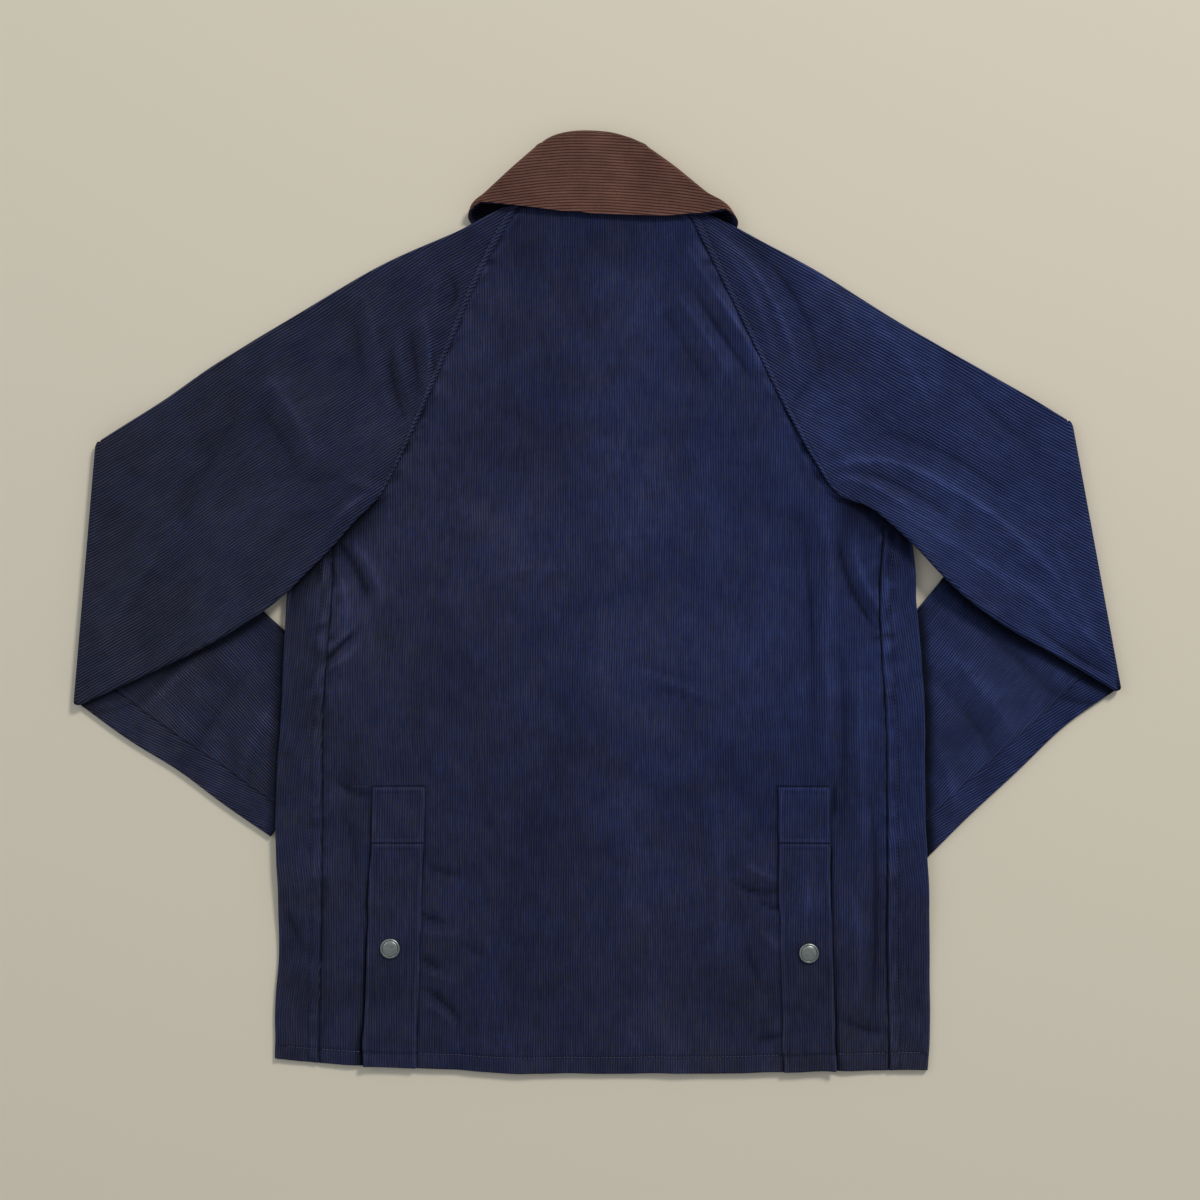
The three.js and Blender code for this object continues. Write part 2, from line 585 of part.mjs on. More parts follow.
function collarPly(offset) {
  const back = steps(10);
  const turns = steps(6).slice(1, -1);
  return COLLAR_ROWS.map(({ rows, at, turn }) => {
    const row = (column) => read(rows, "at", column, at);
    const bend = THREE.MathUtils.degToRad(turn);
    const from = COLLAR_STAND + COLLAR_ROLL + (COLLAR_ROLL + offset) * Math.sin(bend);
    const up = (COLLAR_ROLL + offset) * Math.cos(bend);
    const low = (sign) => ([x, y]) =>
      point(x - sign * FRONT_ROLL.x * up, y + FRONT_ROLL.y * up, COLLAR_MIDDLE - from);
    const high = ([x, y]) => point(x, y + up, COLLAR_MIDDLE + from);
    const turned = (side) => {
      const { sign } = sideOf[side];
      const [ax, ay] = collarTurn(side, row);
      const [bx, by] = [row(`${side}X`), row(`${side}Y`)];
      return turns.map((t) => {
        const angle = Math.PI * t;
        const lean = (Math.PI / 2) * t + Math.atan2(FRONT_ROLL.y, FRONT_ROLL.x) * (1 - t);
        const x = mix(ax, bx, t) + sign * (from * Math.sin(angle) - up * Math.cos(lean));
        const y = mix(ay, by, t) + up * Math.sin(lean);
        return point(x, y, COLLAR_MIDDLE - from * Math.cos(angle));
      });
    };
    const [left, right] = [
      [row("leftX"), row("leftY")],
      [row("rightX"), row("rightY")],
    ];
    const backLine = back.map((t) => {
      const arch = (1 - (2 * t - 1) ** 2) * (row("middleY") - (left[1] + right[1]) / 2);
      return [mix(left[0], right[0], t), mix(left[1], right[1], t) + arch];
    });
    return [
      ...collarFront("left", row, collarTurn("left", row)).reverse().map(low(-1)),
      ...turned("left"),
      ...backLine.map(high),
      ...turned("right").reverse(),
      ...collarFront("right", row, collarTurn("right", row)).map(low(1)),
    ];
  });
}

const collarTop = () =>
  wall(collarPly(COLLAR_PLIES), collarPly(COLLAR_PLY_GAP));
const collarUnder = () =>
  wall(collarPly(-COLLAR_PLY_GAP), collarPly(-COLLAR_PLIES));

// ---------------------------------------------------------------- what is sewn on
// A piece that lies on the back panel at a vent, on the panel's own points moved up.
function patchOnBack(side, levels) {
  const lines = BACK_LINES.filter((line) => line.vent === side);
  const grid = (up) => levels.map((level) => lines.map((line) => backPoint(line, level, up)));
  return wall(grid(SEAM + CLOTH), grid(SEAM));
}
const ventStrip = (side) =>
  patchOnBack(side, [...LOW_ROWS.filter((y) => y < TAB.bottom), TAB.bottom - SEAM]);
const ventTab = (side) => patchOnBack(side, [TAB.bottom, VENT_TOP, TAB.top]);

function stud(side) {
  const { x: studX, y: studY } = STUD_AT[side];
  const { radius, height, rim, ring: inner, groove } = STUD;
  const seat = Math.max(
    ...steps(8, 0, 2 * Math.PI).map((a) =>
      backTop(studX + radius * Math.cos(a), studY + radius * Math.sin(a)),
    ),
  );
  const profile = [
    [0, 0],
    [radius, 0],
    [radius, rim],
    [radius * 0.93, height * 0.45],
    [inner, height * 0.72],
    [inner - 0.5, height * 0.72 - groove],
    [inner - 1, height * 0.78],
    [radius * 0.35, height * 0.97],
    [0, height],
  ].map(([r, z]) => new THREE.Vector2(r, z));
  const cap = new THREE.LatheGeometry(profile, 24);
  cap.rotateX(Math.PI / 2);
  cap.translate(studX, studY, seat + SEAM + CLOTH + SEAM);
  return cap;
}

// The zip: tape inside the fronts, with the closed chain between their edges.
function zip() {
  const { chain, tape, tapeDepth } = ZIP;
  const rows = LOW_ROWS.concat(RAGLAN_ROWS.filter((y) => y < FRONT_NECK_Y - 10), FRONT_NECK_Y - 4);
  const section = [
    [-chain / 2, 0],
    [chain / 2, 0],
    [chain / 2, CLOTH + SEAM],
    [tape / 2, CLOTH + SEAM],
    [tape / 2, CLOTH + SEAM + tapeDepth],
    [-tape / 2, CLOTH + SEAM + tapeDepth],
    [-tape / 2, CLOTH + SEAM],
    [-chain / 2, CLOTH + SEAM],
  ];
  const at = (level, [x, z]) => {
    const y = level + hemShift(x, level);
    return point(x, y, bodyFloor(x, y) + z);
  };
  const triangles = [];
  for (let i = 0; i < rows.length - 1; i++) {
    section.forEach((corner, j) => {
      const next = section[(j + 1) % section.length];
      const [a, b] = [at(rows[i], corner), at(rows[i], next)];
      const [c, d] = [at(rows[i + 1], next), at(rows[i + 1], corner)];
      triangles.push(a, c, b, a, d, c);
    });
  }
  const outline = section.map(([x, z]) => new THREE.Vector2(x, z));
  for (const [i, j, k] of THREE.ShapeUtils.triangulateShape(outline, [])) {
    const [near, far] = [rows[0], rows[rows.length - 1]];
    triangles.push(at(near, section[i]), at(near, section[j]), at(near, section[k]));
    triangles.push(at(far, section[i]), at(far, section[k]), at(far, section[j]));
  }
  return facingOut(triangles);
}

// ---------------------------------------------------------------- the jacket
const navy = new THREE.MeshStandardMaterial({ color: 0x202a48, roughness: 0.95 });
const brown = new THREE.MeshStandardMaterial({ color: 0x543c34, roughness: 0.95 });
const metal = new THREE.MeshStandardMaterial({ color: 0x7a8280, roughness: 0.35, metalness: 1 });
const tapeCloth = new THREE.MeshStandardMaterial({ color: 0x151a2b, roughness: 0.8 });

const jacket = new THREE.Group();
function add(name, geometry, material) {
  const mesh = new THREE.Mesh(geometry, material);
  mesh.name = name;
  jacket.add(mesh);
}

add("back_panel", backPanel(), navy);
for (const side of ["left", "right"]) {
  add(`front_${side}`, front(side), navy);
  add(`sleeve_${side}`, sleeve(side), navy);
  add(`vent_strip_${side}`, ventStrip(side), navy);
  add(`vent_tab_${side}`, ventTab(side), navy);
  add(`stud_${side}`, stud(side), metal);
}
add("collar_top", collarTop(), brown);
add("collar_under", collarUnder(), navy);
add("front_zip", zip(), tapeCloth);

export default jacket;
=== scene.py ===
"""A navy corduroy hunting jacket with a brown collar, laid face down and zipped up, with both
sleeves folded under at the elbow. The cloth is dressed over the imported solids."""

import math

import bpy
import numpy as np
from bpy.props import FloatProperty, FloatVectorProperty, PointerProperty
from bpy.types import Operator, Panel, PropertyGroup
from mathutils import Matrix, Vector


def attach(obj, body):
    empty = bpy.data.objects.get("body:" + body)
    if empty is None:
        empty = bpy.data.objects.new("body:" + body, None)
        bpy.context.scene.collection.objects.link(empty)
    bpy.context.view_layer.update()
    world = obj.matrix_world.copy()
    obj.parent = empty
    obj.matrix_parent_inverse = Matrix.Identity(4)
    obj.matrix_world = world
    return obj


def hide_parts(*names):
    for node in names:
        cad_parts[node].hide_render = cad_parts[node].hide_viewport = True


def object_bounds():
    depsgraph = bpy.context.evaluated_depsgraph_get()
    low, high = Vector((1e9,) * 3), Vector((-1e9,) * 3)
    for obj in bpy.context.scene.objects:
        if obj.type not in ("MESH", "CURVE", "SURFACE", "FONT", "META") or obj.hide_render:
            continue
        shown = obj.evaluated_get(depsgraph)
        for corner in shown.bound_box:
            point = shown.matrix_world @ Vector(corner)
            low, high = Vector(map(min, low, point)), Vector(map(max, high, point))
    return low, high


bl_info = {
    "name": "Corduroy hunting jacket",
    "version": (1, 0, 0),
    "blender": (4, 5, 0),
    "location": "3D View > Sidebar > Jacket",
    "description": "Dresses a corduroy hunting jacket, laid face down, over its packed solids",
    "category": "Add Mesh",
}

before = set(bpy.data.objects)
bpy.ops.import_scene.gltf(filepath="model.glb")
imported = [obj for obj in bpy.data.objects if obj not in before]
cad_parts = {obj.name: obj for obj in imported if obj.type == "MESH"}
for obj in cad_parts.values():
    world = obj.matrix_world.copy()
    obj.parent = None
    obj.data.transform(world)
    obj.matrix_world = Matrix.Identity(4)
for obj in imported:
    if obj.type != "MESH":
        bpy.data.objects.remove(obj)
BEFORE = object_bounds()

# ---------------------------------------------------------------- the pattern
# The pattern is drawn in millimetres, from the point on the surface under the middle of the
# jacket: x to the wearer's right, y from hem to collar, z up. The solids' lowest corner and
# their width in it tie it to the frame, where one pattern millimetre is UNIT long.
PATTERN_LOW = (-446.42, -401.43, 0.0)
PATTERN_WIDTH = 892.53
UNIT = (BEFORE[1].x - BEFORE[0].x) / PATTERN_WIDTH
SIGN = {"left": -1, "right": 1}

# The cloth, the air between two layers of it, the thickness of a flattened body or sleeve, and
# the gaps between pieces.
CLOTH = 1.6
AIR = 1.8
TUBE = 2 * CLOTH + AIR
SEAM = 0.3
RAGLAN_GAP = 0.12
FOLD_CLEAR = SEAM / 2
# How high a layer lies that rests on another one.
FOLD_AXIS = TUBE + FOLD_CLEAR
ON_FOREARM = TUBE + SEAM
ON_BODY = TUBE + 1
# How far cloth bridges past the edge of what it lies on, and the stretch over which it sinks.
DRAPE_MARGIN = 16
DRAPE_REACH = 60
# How much higher a crease stands than its table says.
CREASE_LIFT = 1.4
# How much shallower the grooves between the wales are on the body, and how much paler their colour,
# which is partly painted shade. Below 0 they are deeper and darker.
BODY_SOFT = 0.44

# Levels of the garment, from the neckline down to the hem.
NECK_Y = 337
FRONT_TOP_Y = 322
UNDERARM_Y = 90
SEAM_TOP_Y = 64
TAB_TOP, TAB_MIDDLE, TAB_BOTTOM = -156.5, -180.0, -204.5
HEM_Y = -402
# Heights over the hem: of its stitch line, where the rows of a panel begin to lie further apart,
# and where the panel no longer follows the hem's curve.
HEM_STITCH = 13.5
HEM_ROWS_TOP = 24
HEM_FADE = 70
# How far the fronts' inner edges lie from the middle of the zip.
ZIP_EDGE = 2.9


def table(columns, *rows):
    """Rows of numbers under named columns."""
    return [dict(zip(columns.split(), row, strict=True)) for row in rows]


# The body's outer edges and its side seams.
BODY = table(
    "y leftEdge leftSeam rightSeam rightEdge",
    (HEM_Y, -274.5, -237.5, 248.5, 283),
    (-350, -275, -237, 247.5, 284.3),
    (-300, -271.5, -236, 246.5, 284),
    (-200, -273, -234, 246, 281),
    (-100, -270.5, -233.5, 245, 278),
    (-40, -267, -230, 241, 275),
    (10, -264, -226, 239.6, 271),
    (SEAM_TOP_Y, -262, -228, 244, 266),
)
# The seams between the back and the sleeves.
RAGLAN = table(
    "y left right",
    (SEAM_TOP_Y, -228, 244),
    (76, -206, 244.6),
    (84, -193, 236),
    (UNDERARM_Y, -186, 209),
    (117, -171, 187),
    (162, -150, 162),
    (222, -124, 132),
    (282, -98, 102),
    (NECK_Y, -66, 74),
)
# The hem's edge, which curves up at its ends, most of all at the left.
HEM = table(
    "x y",
    (-276, -388.5),
    (-237, -392.5),
    (-135, -397.8),
    (-60, -401),
    (120, -401),
    (200, -399.5),
    (285, -398.6),
)
# Each sleeve's two edges, from the raglan seam (0) to the elbow's fold (1).
UPPER_SLEEVE = {
    "left": table(
        "at shoulderX shoulderY underarmX underarmY",
        (0, -66, NECK_Y, -186, UNDERARM_Y),
        (0.15, -114, 319, -212, 63),
        (0.3, -179, 291.6, -240, 33),
        (0.5, -250, 251, -277, -2),
        (0.7, -322, 206.6, -335, -38),
        (0.85, -375, 169.5, -392, -65),
        (1, -422.5, 139, -441.5, -87),
    ),
    "right": table(
        "at shoulderX shoulderY underarmX underarmY",
        (0, 74, NECK_Y, 209, UNDERARM_Y),
        (0.15, 125, 314.5, 236, 78.5),
        (0.3, 180, 288, 263, 54.5),
        (0.5, 250, 245, 300, 16),
        (0.7, 315, 206.6, 345, -19),
        (0.85, 362, 179, 396, -48.5),
        (1, 399, 156.5, 441.5, -75),
    ),
}
# Each forearm's two edges under the body, from the fold (0) to the cuff (1).
FOREARM = {
    "left": table(
        "at innerX innerY outerX outerY",
        (0, -422.5, 139, -441.5, -87),
        (0.25, -366, 76, -400, -117),
        (0.5, -309, 16, -358, -143),
        (0.75, -253, -36, -319, -172),
        (1, -196, -84, -279, -199.5),
    ),
    "right": table(
        "at innerX innerY outerX outerY",
        (0, 399, 156.5, 441.5, -75),
        (0.25, 342, 85, 400, -104),
        (0.5, 288, 13, 358, -144),
        (0.75, 231, -52, 317, -182),
        (1, 175.5, -116.5, 275, -224),
    ),
}
# The way the wales run on each upper sleeve, in degrees from x.
WALE_TURN = {"left": 33.0, "right": -29.5}
# The seam of the under sleeve on each forearm, the turn of the wales on its two sides, and how dark
# the painted shade in its groove is.
FOREARM_SEAM = {
    "left": {"x1": -411.8, "y1": -74, "x2": -275, "y2": -170.9, "main": -46, "strip": -24,
             "dark": 0.55},
    "right": {"x1": 390.6, "y1": -84, "x2": 284.3, "y2": -181.1, "main": 49, "strip": 32,
              "dark": 0.34},
}

# What differs between the sleeves. Form: the lower edge's roll and how far it stands off (hover),
# how far the cloth climbs at the neck (neckRise) and along what share of the sleeve (neckRun), the
# raglan groove and the painted shade in it, the wales' pitch at the lower edge and at the shoulder,
# and how much shallower their grooves are (soft), which also makes the grooves' colour, partly
# painted shade, paler. Tone, which is painted light and shade: of the whole sleeve (light), at the
# neck, beyond it (armTone), on the forearm, and the painted shadow where the forearm goes in under
# the body (shade). Tip is how much darker the fold's lower corner is painted, painted shade in its
# opening.
SLEEVE_FORM = {
    "left": {"roll": 1.6, "hover": 2.0, "neckRise": 6.0, "neckRun": 0.18, "shade": 0.4,
             "light": 1.06, "groove": 0.5, "tip": 0.2, "pitch": (1.03, 1.1), "soft": -0.45,
             "neckTone": 0.9, "armTone": 1.02, "forearmTone": 1.16},
    "right": {"roll": 2.2, "hover": 4.2, "neckRise": 3.5, "neckRun": 0.3, "shade": 0.1,
              "light": 1.23, "groove": 1.0, "tip": 0.95, "pitch": (0.99, 1.14), "soft": -0.3,
              "neckTone": 0.72, "armTone": 1.13, "forearmTone": 1.04},
}
# Rows of a sleeve beside its raglan seam, as shares of its upper length, and the row that its
# stitch line follows.
SEAM_STITCH_ROW = 7
SEAM_STEPS = [0, 0.0018, 0.004, 0.007, 0.011, 0.015, 0.0185, 0.022, 0.026, 0.032, 0.04, 0.05]

# The vents' strips and tabs, as shares of the back's width at the hem and at the tabs, whether
# the strip's right edge is the free one, and how much wider the hollow beside it is at the hem.
VENTS = {
    "left": {"hemFrom": 0.0763, "hemTo": 0.1696, "tabFrom": 0.0877, "tabTo": 0.1808,
             "free": False, "flare": 4.5},
    "right": {"hemFrom": 0.8146, "hemTo": 0.9072, "tabFrom": 0.8079, "tabTo": 0.8985,
              "free": True, "flare": 1.6},
}

# Creases on top: each runs from one point through a second to a third. Height is above 0 for a
# ridge and below 0 for a trough. Lean steepens its left side, seen along the line, where it is
# below 0, and its right side where it is above 0.
CREASES = table(
    "x1 y1 x2 y2 x3 y3 width height lean",
    # right sleeve: the long ridge that swings out from the underarm, and its companions
    (190, 113, 240, 121, 288, 104, 5, 3.0, -0.3),
    (268, 114, 322, 84, 364, 48, 6.5, 2.8, -0.3),
    (340, 68, 372, 42, 396, 10, 10, 1.7, -0.2),
    (202, 106, 234, 99, 270, 76, 4.6, 2.3, -0.3),
    (214, 113, 252, 102, 296, 74, 6, -1.6, 0.0),
    (262, 72, 310, 44, 358, 10, 15, 2.0, 0.0),
    (226, 146, 296, 128, 352, 84, 13, -1.6, 0.0),
    (330, 34, 372, 6, 410, -34, 10, 1.8, -0.2),
    (384, 66, 404, 12, 424, -38, 12, 1.5, 0.0),
    (198, 178, 184, 166, 173, 149, 5, 1.7, 0.0),
    (190, 196, 173, 180, 165, 160, 5, -1.5, 0.0),
    # right sleeve: the small folds that meet at the elbow's tip
    (372, -20, 402, -42, 434, -61, 3, -1.9, 0.0),
    (366, -26, 400, -50, 437, -68, 3.4, 1.5, 0.0),
    (396, -6, 416, -28, 438, -52, 5, 1.4, 0.0),
    # right sleeve: down from the collar along the raglan seam
    (98, 318, 147, 262, 171, 190, 5.5, 2.6, -0.4),
    (92, 318, 128, 272, 150, 212, 9, 2.0, 0.0),
    (116, 314, 168, 262, 192, 192, 12, -1.8, 0.0),
    (150, 306, 196, 272, 224, 226, 16, 1.3, 0.0),
    (226, 250, 262, 210, 286, 160, 20, 1.4, 0.0),
    (300, 200, 340, 160, 372, 128, 18, -1.2, 0.0),
    # back: below the right raglan seam
    (76, 302, 112, 246, 144, 200, 6.5, 2.4, 0.2),
    (82, 266, 106, 228, 134, 190, 6, -1.9, 0.0),
    (66, 264, 90, 230, 114, 192, 8, 1.6, 0.0),
    (54, 252, 76, 216, 100, 178, 9, -1.0, 0.0),
    # left sleeve: short folds against the raglan seam
    (-175, 216, -173, 186, -161, 153, 4.2, -2.8, 0.2),
    (-183, 214, -182, 186, -171, 152, 4.6, 1.8, 0.0),
    (-148, 246, -143, 209, -147, 172, 4.4, 3.0, 0.2),
    (-141, 220, -139, 205, -138, 190, 2.6, -1.5, 0.0),
    (-159, 234, -155, 206, -149, 172, 3.8, -2.4, -0.2),
    (-168, 228, -165, 199, -157, 168, 4, 1.8, 0.0),
    (-126, 277, -120, 263, -128, 249, 4.5, -2.0, 0.0),
    (-134, 280, -137, 260, -136, 242, 6, 1.4, 0.0),
    (-198, 264, -191, 236, -186, 200, 7, 2.0, 0.0),
    (-208, 246, -202, 214, -197, 184, 7, -1.4, 0.0),
    (-281, 192, -262, 168, -240, 128, 10, 2.4, 0.0),
    (-290, 172, -272, 144, -254, 112, 12, -1.8, 0.0),
    (-264, 114, -240, 104, -216, 110, 10, -1.2, 0.0),
    (-218, 110, -202, 101, -184, 97, 5, 1.5, 0.0),
    (-188, 93, -206, 84, -228, 62, 5, 1.8, 0.2),
    (-290, 190, -330, 120, -352, 60, 24, -1.2, 0.0),
    (-360, 60, -396, 10, -420, -44, 18, 1.5, 0.0),
    # back: drag lines under both arms
    (-219, 50, -207, 32, -197, 8, 5, -6.0, 0.2),
    (-206, 48, -190, 26, -184, -4, 6, 3.8, 0.0),
    (-223, 30, -214, 4, -216, -24, 5, 2.8, 0.2),
    (-209, -27, -219, -37, -231, -49, 2.8, -4.9, 0.2),
    (-208, -19, -216, -29, -228, -39, 3, 2.7, 0.0),
    (-203, -34, -214, -46, -229, -57, 4.5, 3.2, 0.0),
    (206, 54, 216, 14, 238, -24, 5.5, -3.6, 0.2),
    (216, 58, 227, 20, 240, -6, 5, 3.1, 0.0),
    (190, 80, 199, 30, 196, -36, 6.5, 1.8, 0.0),
    (176, 62, 182, -10, 184, -130, 7.5, -1.6, 0.0),
    (192, -14, 196, -74, 194, -146, 7, 1.5, 0.0),
    (206, -40, 210, -110, 207, -196, 7, -1.4, 0.0),
    (220, -46, 224, -120, 226, -200, 6, 1.5, 0.0),
    # back: fine cross creases in the middle
    (36, -57, 66, -69, 98, -81, 2.8, 1.2, -0.3),
    (28, -50, 62, -60, 100, -71, 5, -0.9, 0.0),
    (36, -68, 70, -79, 104, -90, 4, -0.8, 0.0),
    (-16, 128, 10, 131, 42, 125, 4, 0.6, 0.0),
    (-4, 51, 36, 60, 82, 57, 4.5, 0.8, 0.0),
    (-96, 20, -50, 30, 4, 22, 6, 0.7, 0.0),
    # beside the vents: short ripples that fan out from the strips
    (-222, -150, -210, -159, -194, -164, 5.5, -2.2, 0.0),
    (-216, -176, -208, -206, -204, -236, 6, -1.6, 0.0),
    (-266, -262, -259, -276, -249, -296, 5, -2.0, 0.0),
    (-144, -224, -132, -229, -116, -230, 4.5, -1.6, 0.0),
    (-151, -265, -142, -269, -130, -272, 3.2, -2.4, 0.0),
    (-150, -277, -136, -282, -118, -280, 5, 1.6, 0.0),
    (-150, -302, -142, -307, -134, -312, 3.2, -2.4, 0.0),
    (-149, -313, -134, -318, -120, -323, 4.2, 2.0, 0.0),
    (-149, -328, -131, -340, -116, -358, 4.5, -2.5, 0.0),
    (-150, -340, -137, -346, -122, -360, 4, 1.9, 0.0),
    (-120, -286, -106, -296, -92, -300, 6, -1.2, 0.0),
    (118, -221, 138, -229, 153, -238, 5, 2.0, 0.0),
    (114, -236, 134, -246, 154, -245, 4.5, -2.5, 0.0),
    (138, -255, 147, -259, 155, -260, 3.5, -2.0, 0.0),
    (139, -280, 149, -289, 154, -299, 5, 1.8, 0.0),
    (127, -292, 131, -307, 138, -322, 6, -1.6, 0.0),
    (134, -371, 146, -371, 157, -368, 4, -2.0, 0.0),
    (98, -180, 105, -240, 102, -330, 7, 1.2, 0.0),
    (232, -164, 237, -260, 234, -362, 6, -2.1, 0.0),
    (176, -216, 178, -248, 177, -282, 4.5, 1.8, 0.0),
    (201, -152, 202, -168, 200, -186, 3.4, -2.2, 0.0),
    (218, -250, 223, -298, 221, -346, 6, 1.9, 0.0),
    (208, -354, 225, -362, 242, -366, 6.5, -2.2, 0.0),
)
# Folds and troughs in the stretch of each forearm that shows.
FOREARM_CREASES = table(
    "x1 y1 x2 y2 x3 y3 width height lean",
    (300, 0, 350, -40, 392, -80, 10, -1.6, 0.0),
    (292, -34, 330, -76, 356, -112, 9, 1.8, 0.0),
    (284, -62, 322, -104, 340, -140, 10, -1.4, 0.0),
    (284, -110, 300, -150, 304, -186, 8, 1.4, 0.0),
    (380, -72, 410, -84, 434, -84, 5, -1.6, 0.2),
    (-334, -44, -361, -67, -390, -96, 5, 2.4, 0.2),
    (-346, -44, -372, -66, -398, -92, 6, -1.6, 0.0),
    (-290, -50, -322, -90, -344, -130, 11, -1.3, 0.0),
    (-274, -84, -296, -124, -304, -160, 10, 1.5, 0.0),
    (-392, -84, -420, -92, -440, -94, 6, -1.4, 0.0),
)

# The collar, as rows from its fold line (0) to its free edge (1), and down to its neckline.
FALL_ROWS = table(
    "at leftX leftY middleY rightX rightY underX underY frontX frontY",
    (0, -47, 389, 399.2, 37, 389, 0, -3, 5, 262),
    (0.35, -67, 371, 376.5, 60, 372, -1, -4, 10, 238),
    (0.7, -89, 351, 353, 88, 350, -3, -9, 18, 214),
    (0.87, -97, 345, 340, 102, 342.5, -4.5, -13, 24, 202),
    (1, -99, 340, 330, 108.5, 334, -6.5, -18.5, 28, 193),
)
STAND_ROWS = FALL_ROWS[:1] + table(
    "at leftX leftY middleY rightX rightY underX underY frontX frontY",
    (0.5, -51, 365, 369, 48, 365, 0, -3, 5, 252),
    (1, -58, 338.5, 337.6, 64, 338.5, 1, -3, 5, 240),
)
# The collar's plies, the roll's radius at its fold line, how far the middle of the cloth lies
# from the collar's middle plane in the stand and in the fall, and the height of that plane.
PLY = 1.1
PLY_GAP = 0.15
STAND = 1.7
ROLL = 1.5
FALL = STAND + 2 * ROLL
COLLAR_MIDDLE = FALL + PLY + PLY_GAP
ON_COLLAR = 2 * (PLY + PLY_GAP) + SEAM
# How its front part bows outwards and how it slants, and how its wales bow down at its ends.
FRONT_BOW = (15.6, -7.8)
FRONT_ROLL = math.atan2(0.31, 0.95)
COLLAR_WALE_BEND = 0.0013

# The middle of each stud.
STUDS = {"left": (-176.5, -294), "right": (180, -298)}


# ---------------------------------------------------------------- small tools
def ease(t):
    """A smooth step from 0 to 1 as t goes from 0 to 1."""
    s = np.clip(t, 0, 1)
    return s * s * (3 - 2 * s)


def mix(a, b, t):
    """From a at 0 to b at 1."""
    return a + (b - a) * t


def dip(distance, width):
    """A smooth hollow of depth 1 and that half width, along distance 0."""
    return np.exp(-((distance / width) ** 2))


def rounded(distance, radius):
    """How far a rounded edge has dropped at that distance from it."""
    t = np.clip(1 - distance / radius, 0, 1)
    return radius * (1 - np.sqrt(1 - t * t))


def read(rows, key, column, value):
    """A smooth reading of one column of a table at any value of its key column."""
    keys = np.array([row[key] for row in rows], float)
    held = np.array([row[column] for row in rows], float)
    last = len(keys) - 1
    after = np.minimum(np.arange(last + 1) + 1, last)
    before = np.maximum(np.arange(last + 1) - 1, 0)
    slope = (held[after] - held[before]) / (keys[after] - keys[before])
    value = np.asarray(value, float)
    i = np.clip(np.searchsorted(keys, value, side="right") - 1, 0, last - 1)
    span = keys[i + 1] - keys[i]
    t = np.clip((value - keys[i]) / span, 0, 1)
    t2, t3 = t * t, t * t * t
    return (
        held[i] * (2 * t3 - 3 * t2 + 1)
        + slope[i] * span * (t3 - 2 * t2 + t)
        + held[i + 1] * (3 * t2 - 2 * t3)
        + slope[i + 1] * span * (t3 - t2)
    )


NOISE_SIZE = 64


def lattice_noise(x, y, cell, seed):
    """Smooth random waves between -1 and 1, with hills about one cell apart."""
    grid = np.random.RandomState(seed).uniform(-1, 1, (NOISE_SIZE, NOISE_SIZE))
    gx, gy = np.asarray(x) / cell + 500, np.asarray(y) / cell + 500
    ix, iy = np.floor(gx).astype(int), np.floor(gy).astype(int)
    tx, ty = ease(gx - ix), ease(gy - iy)
    corner = lambda a, b: grid[(ix + a) % NOISE_SIZE, (iy + b) % NOISE_SIZE]
    low = mix(corner(0, 0), corner(1, 0), tx)
    return mix(low, mix(corner(0, 1), corner(1, 1), tx), ty)


# ---------------------------------------------------------------- how the cloth lies
def outside(x, y, outline):
    """How far a point lies outside a convex outline whose corners run anticlockwise."""
    far = None
    for (ax, ay), (bx, by) in zip(outline, outline[1:] + outline[:1]):
        off = ((x - ax) * (by - ay) - (y - ay) * (bx - ax)) / math.hypot(bx - ax, by - ay)
        far = off if far is None else np.maximum(far, off)
    return far


def lift(x, y, outline, height):
    """How far something of that height and outline holds up the cloth over it."""
    return height * (1 - ease((outside(x, y, outline) - DRAPE_MARGIN) / DRAPE_REACH))


def forearm_outline(side, near, far):
    """A forearm's four corners, anticlockwise."""
    first, last = FOREARM[side][0], FOREARM[side][-1]
    return [
        (first[near + "X"], first[near + "Y"]),
        (first[far + "X"], first[far + "Y"]),
        (last[far + "X"], last[far + "Y"]),
        (last[near + "X"], last[near + "Y"]),
    ]


# What lies under the cloth: the forearms and the collar's front part under the body, and the
# body's corners under the sleeves.
LEFT_FOREARM = forearm_outline("left", "inner", "outer")
RIGHT_FOREARM = forearm_outline("right", "outer", "inner")
FRONT_COLLAR = [(-49, 394), (-110, 322), (-28, 191), (28, 191), (121, 320), (41, 394)]
BODY_CORNERS = {
    "left": [(-186, UNDERARM_Y), (-228, SEAM_TOP_Y), (-264, 27), (-268, 4)],
    "right": [(209, 89), (270, 40), (268, 58), (244, 78)],
}


def body_floor(x, y):
    """The height on which the body lies."""
    return (
        lift(x, y, LEFT_FOREARM, ON_FOREARM)
        + lift(x, y, RIGHT_FOREARM, ON_FOREARM)
        + lift(x, y, FRONT_COLLAR, ON_COLLAR)
    )


def sleeve_floor(side, x, y):
    """The height on which an upper sleeve lies."""
    return body_floor(x, y) + lift(x, y, BODY_CORNERS[side], ON_BODY)


# The straight pieces that a crease's curve is made of.
CREASE_PIECES = 12


def crease_curve(crease):
    """Points along a crease, from its first point through its second to its third."""
    curve = []
    for t in np.linspace(0, 1, CREASE_PIECES + 1):
        point = []
        for axis in ("x", "y"):
            first, last = crease[axis + "1"], crease[axis + "3"]
            pull = 2 * crease[axis + "2"] - (first + last) / 2
            point.append((1 - t) ** 2 * first + 2 * t * (1 - t) * pull + t * t * last)
        curve.append(point)
    return curve


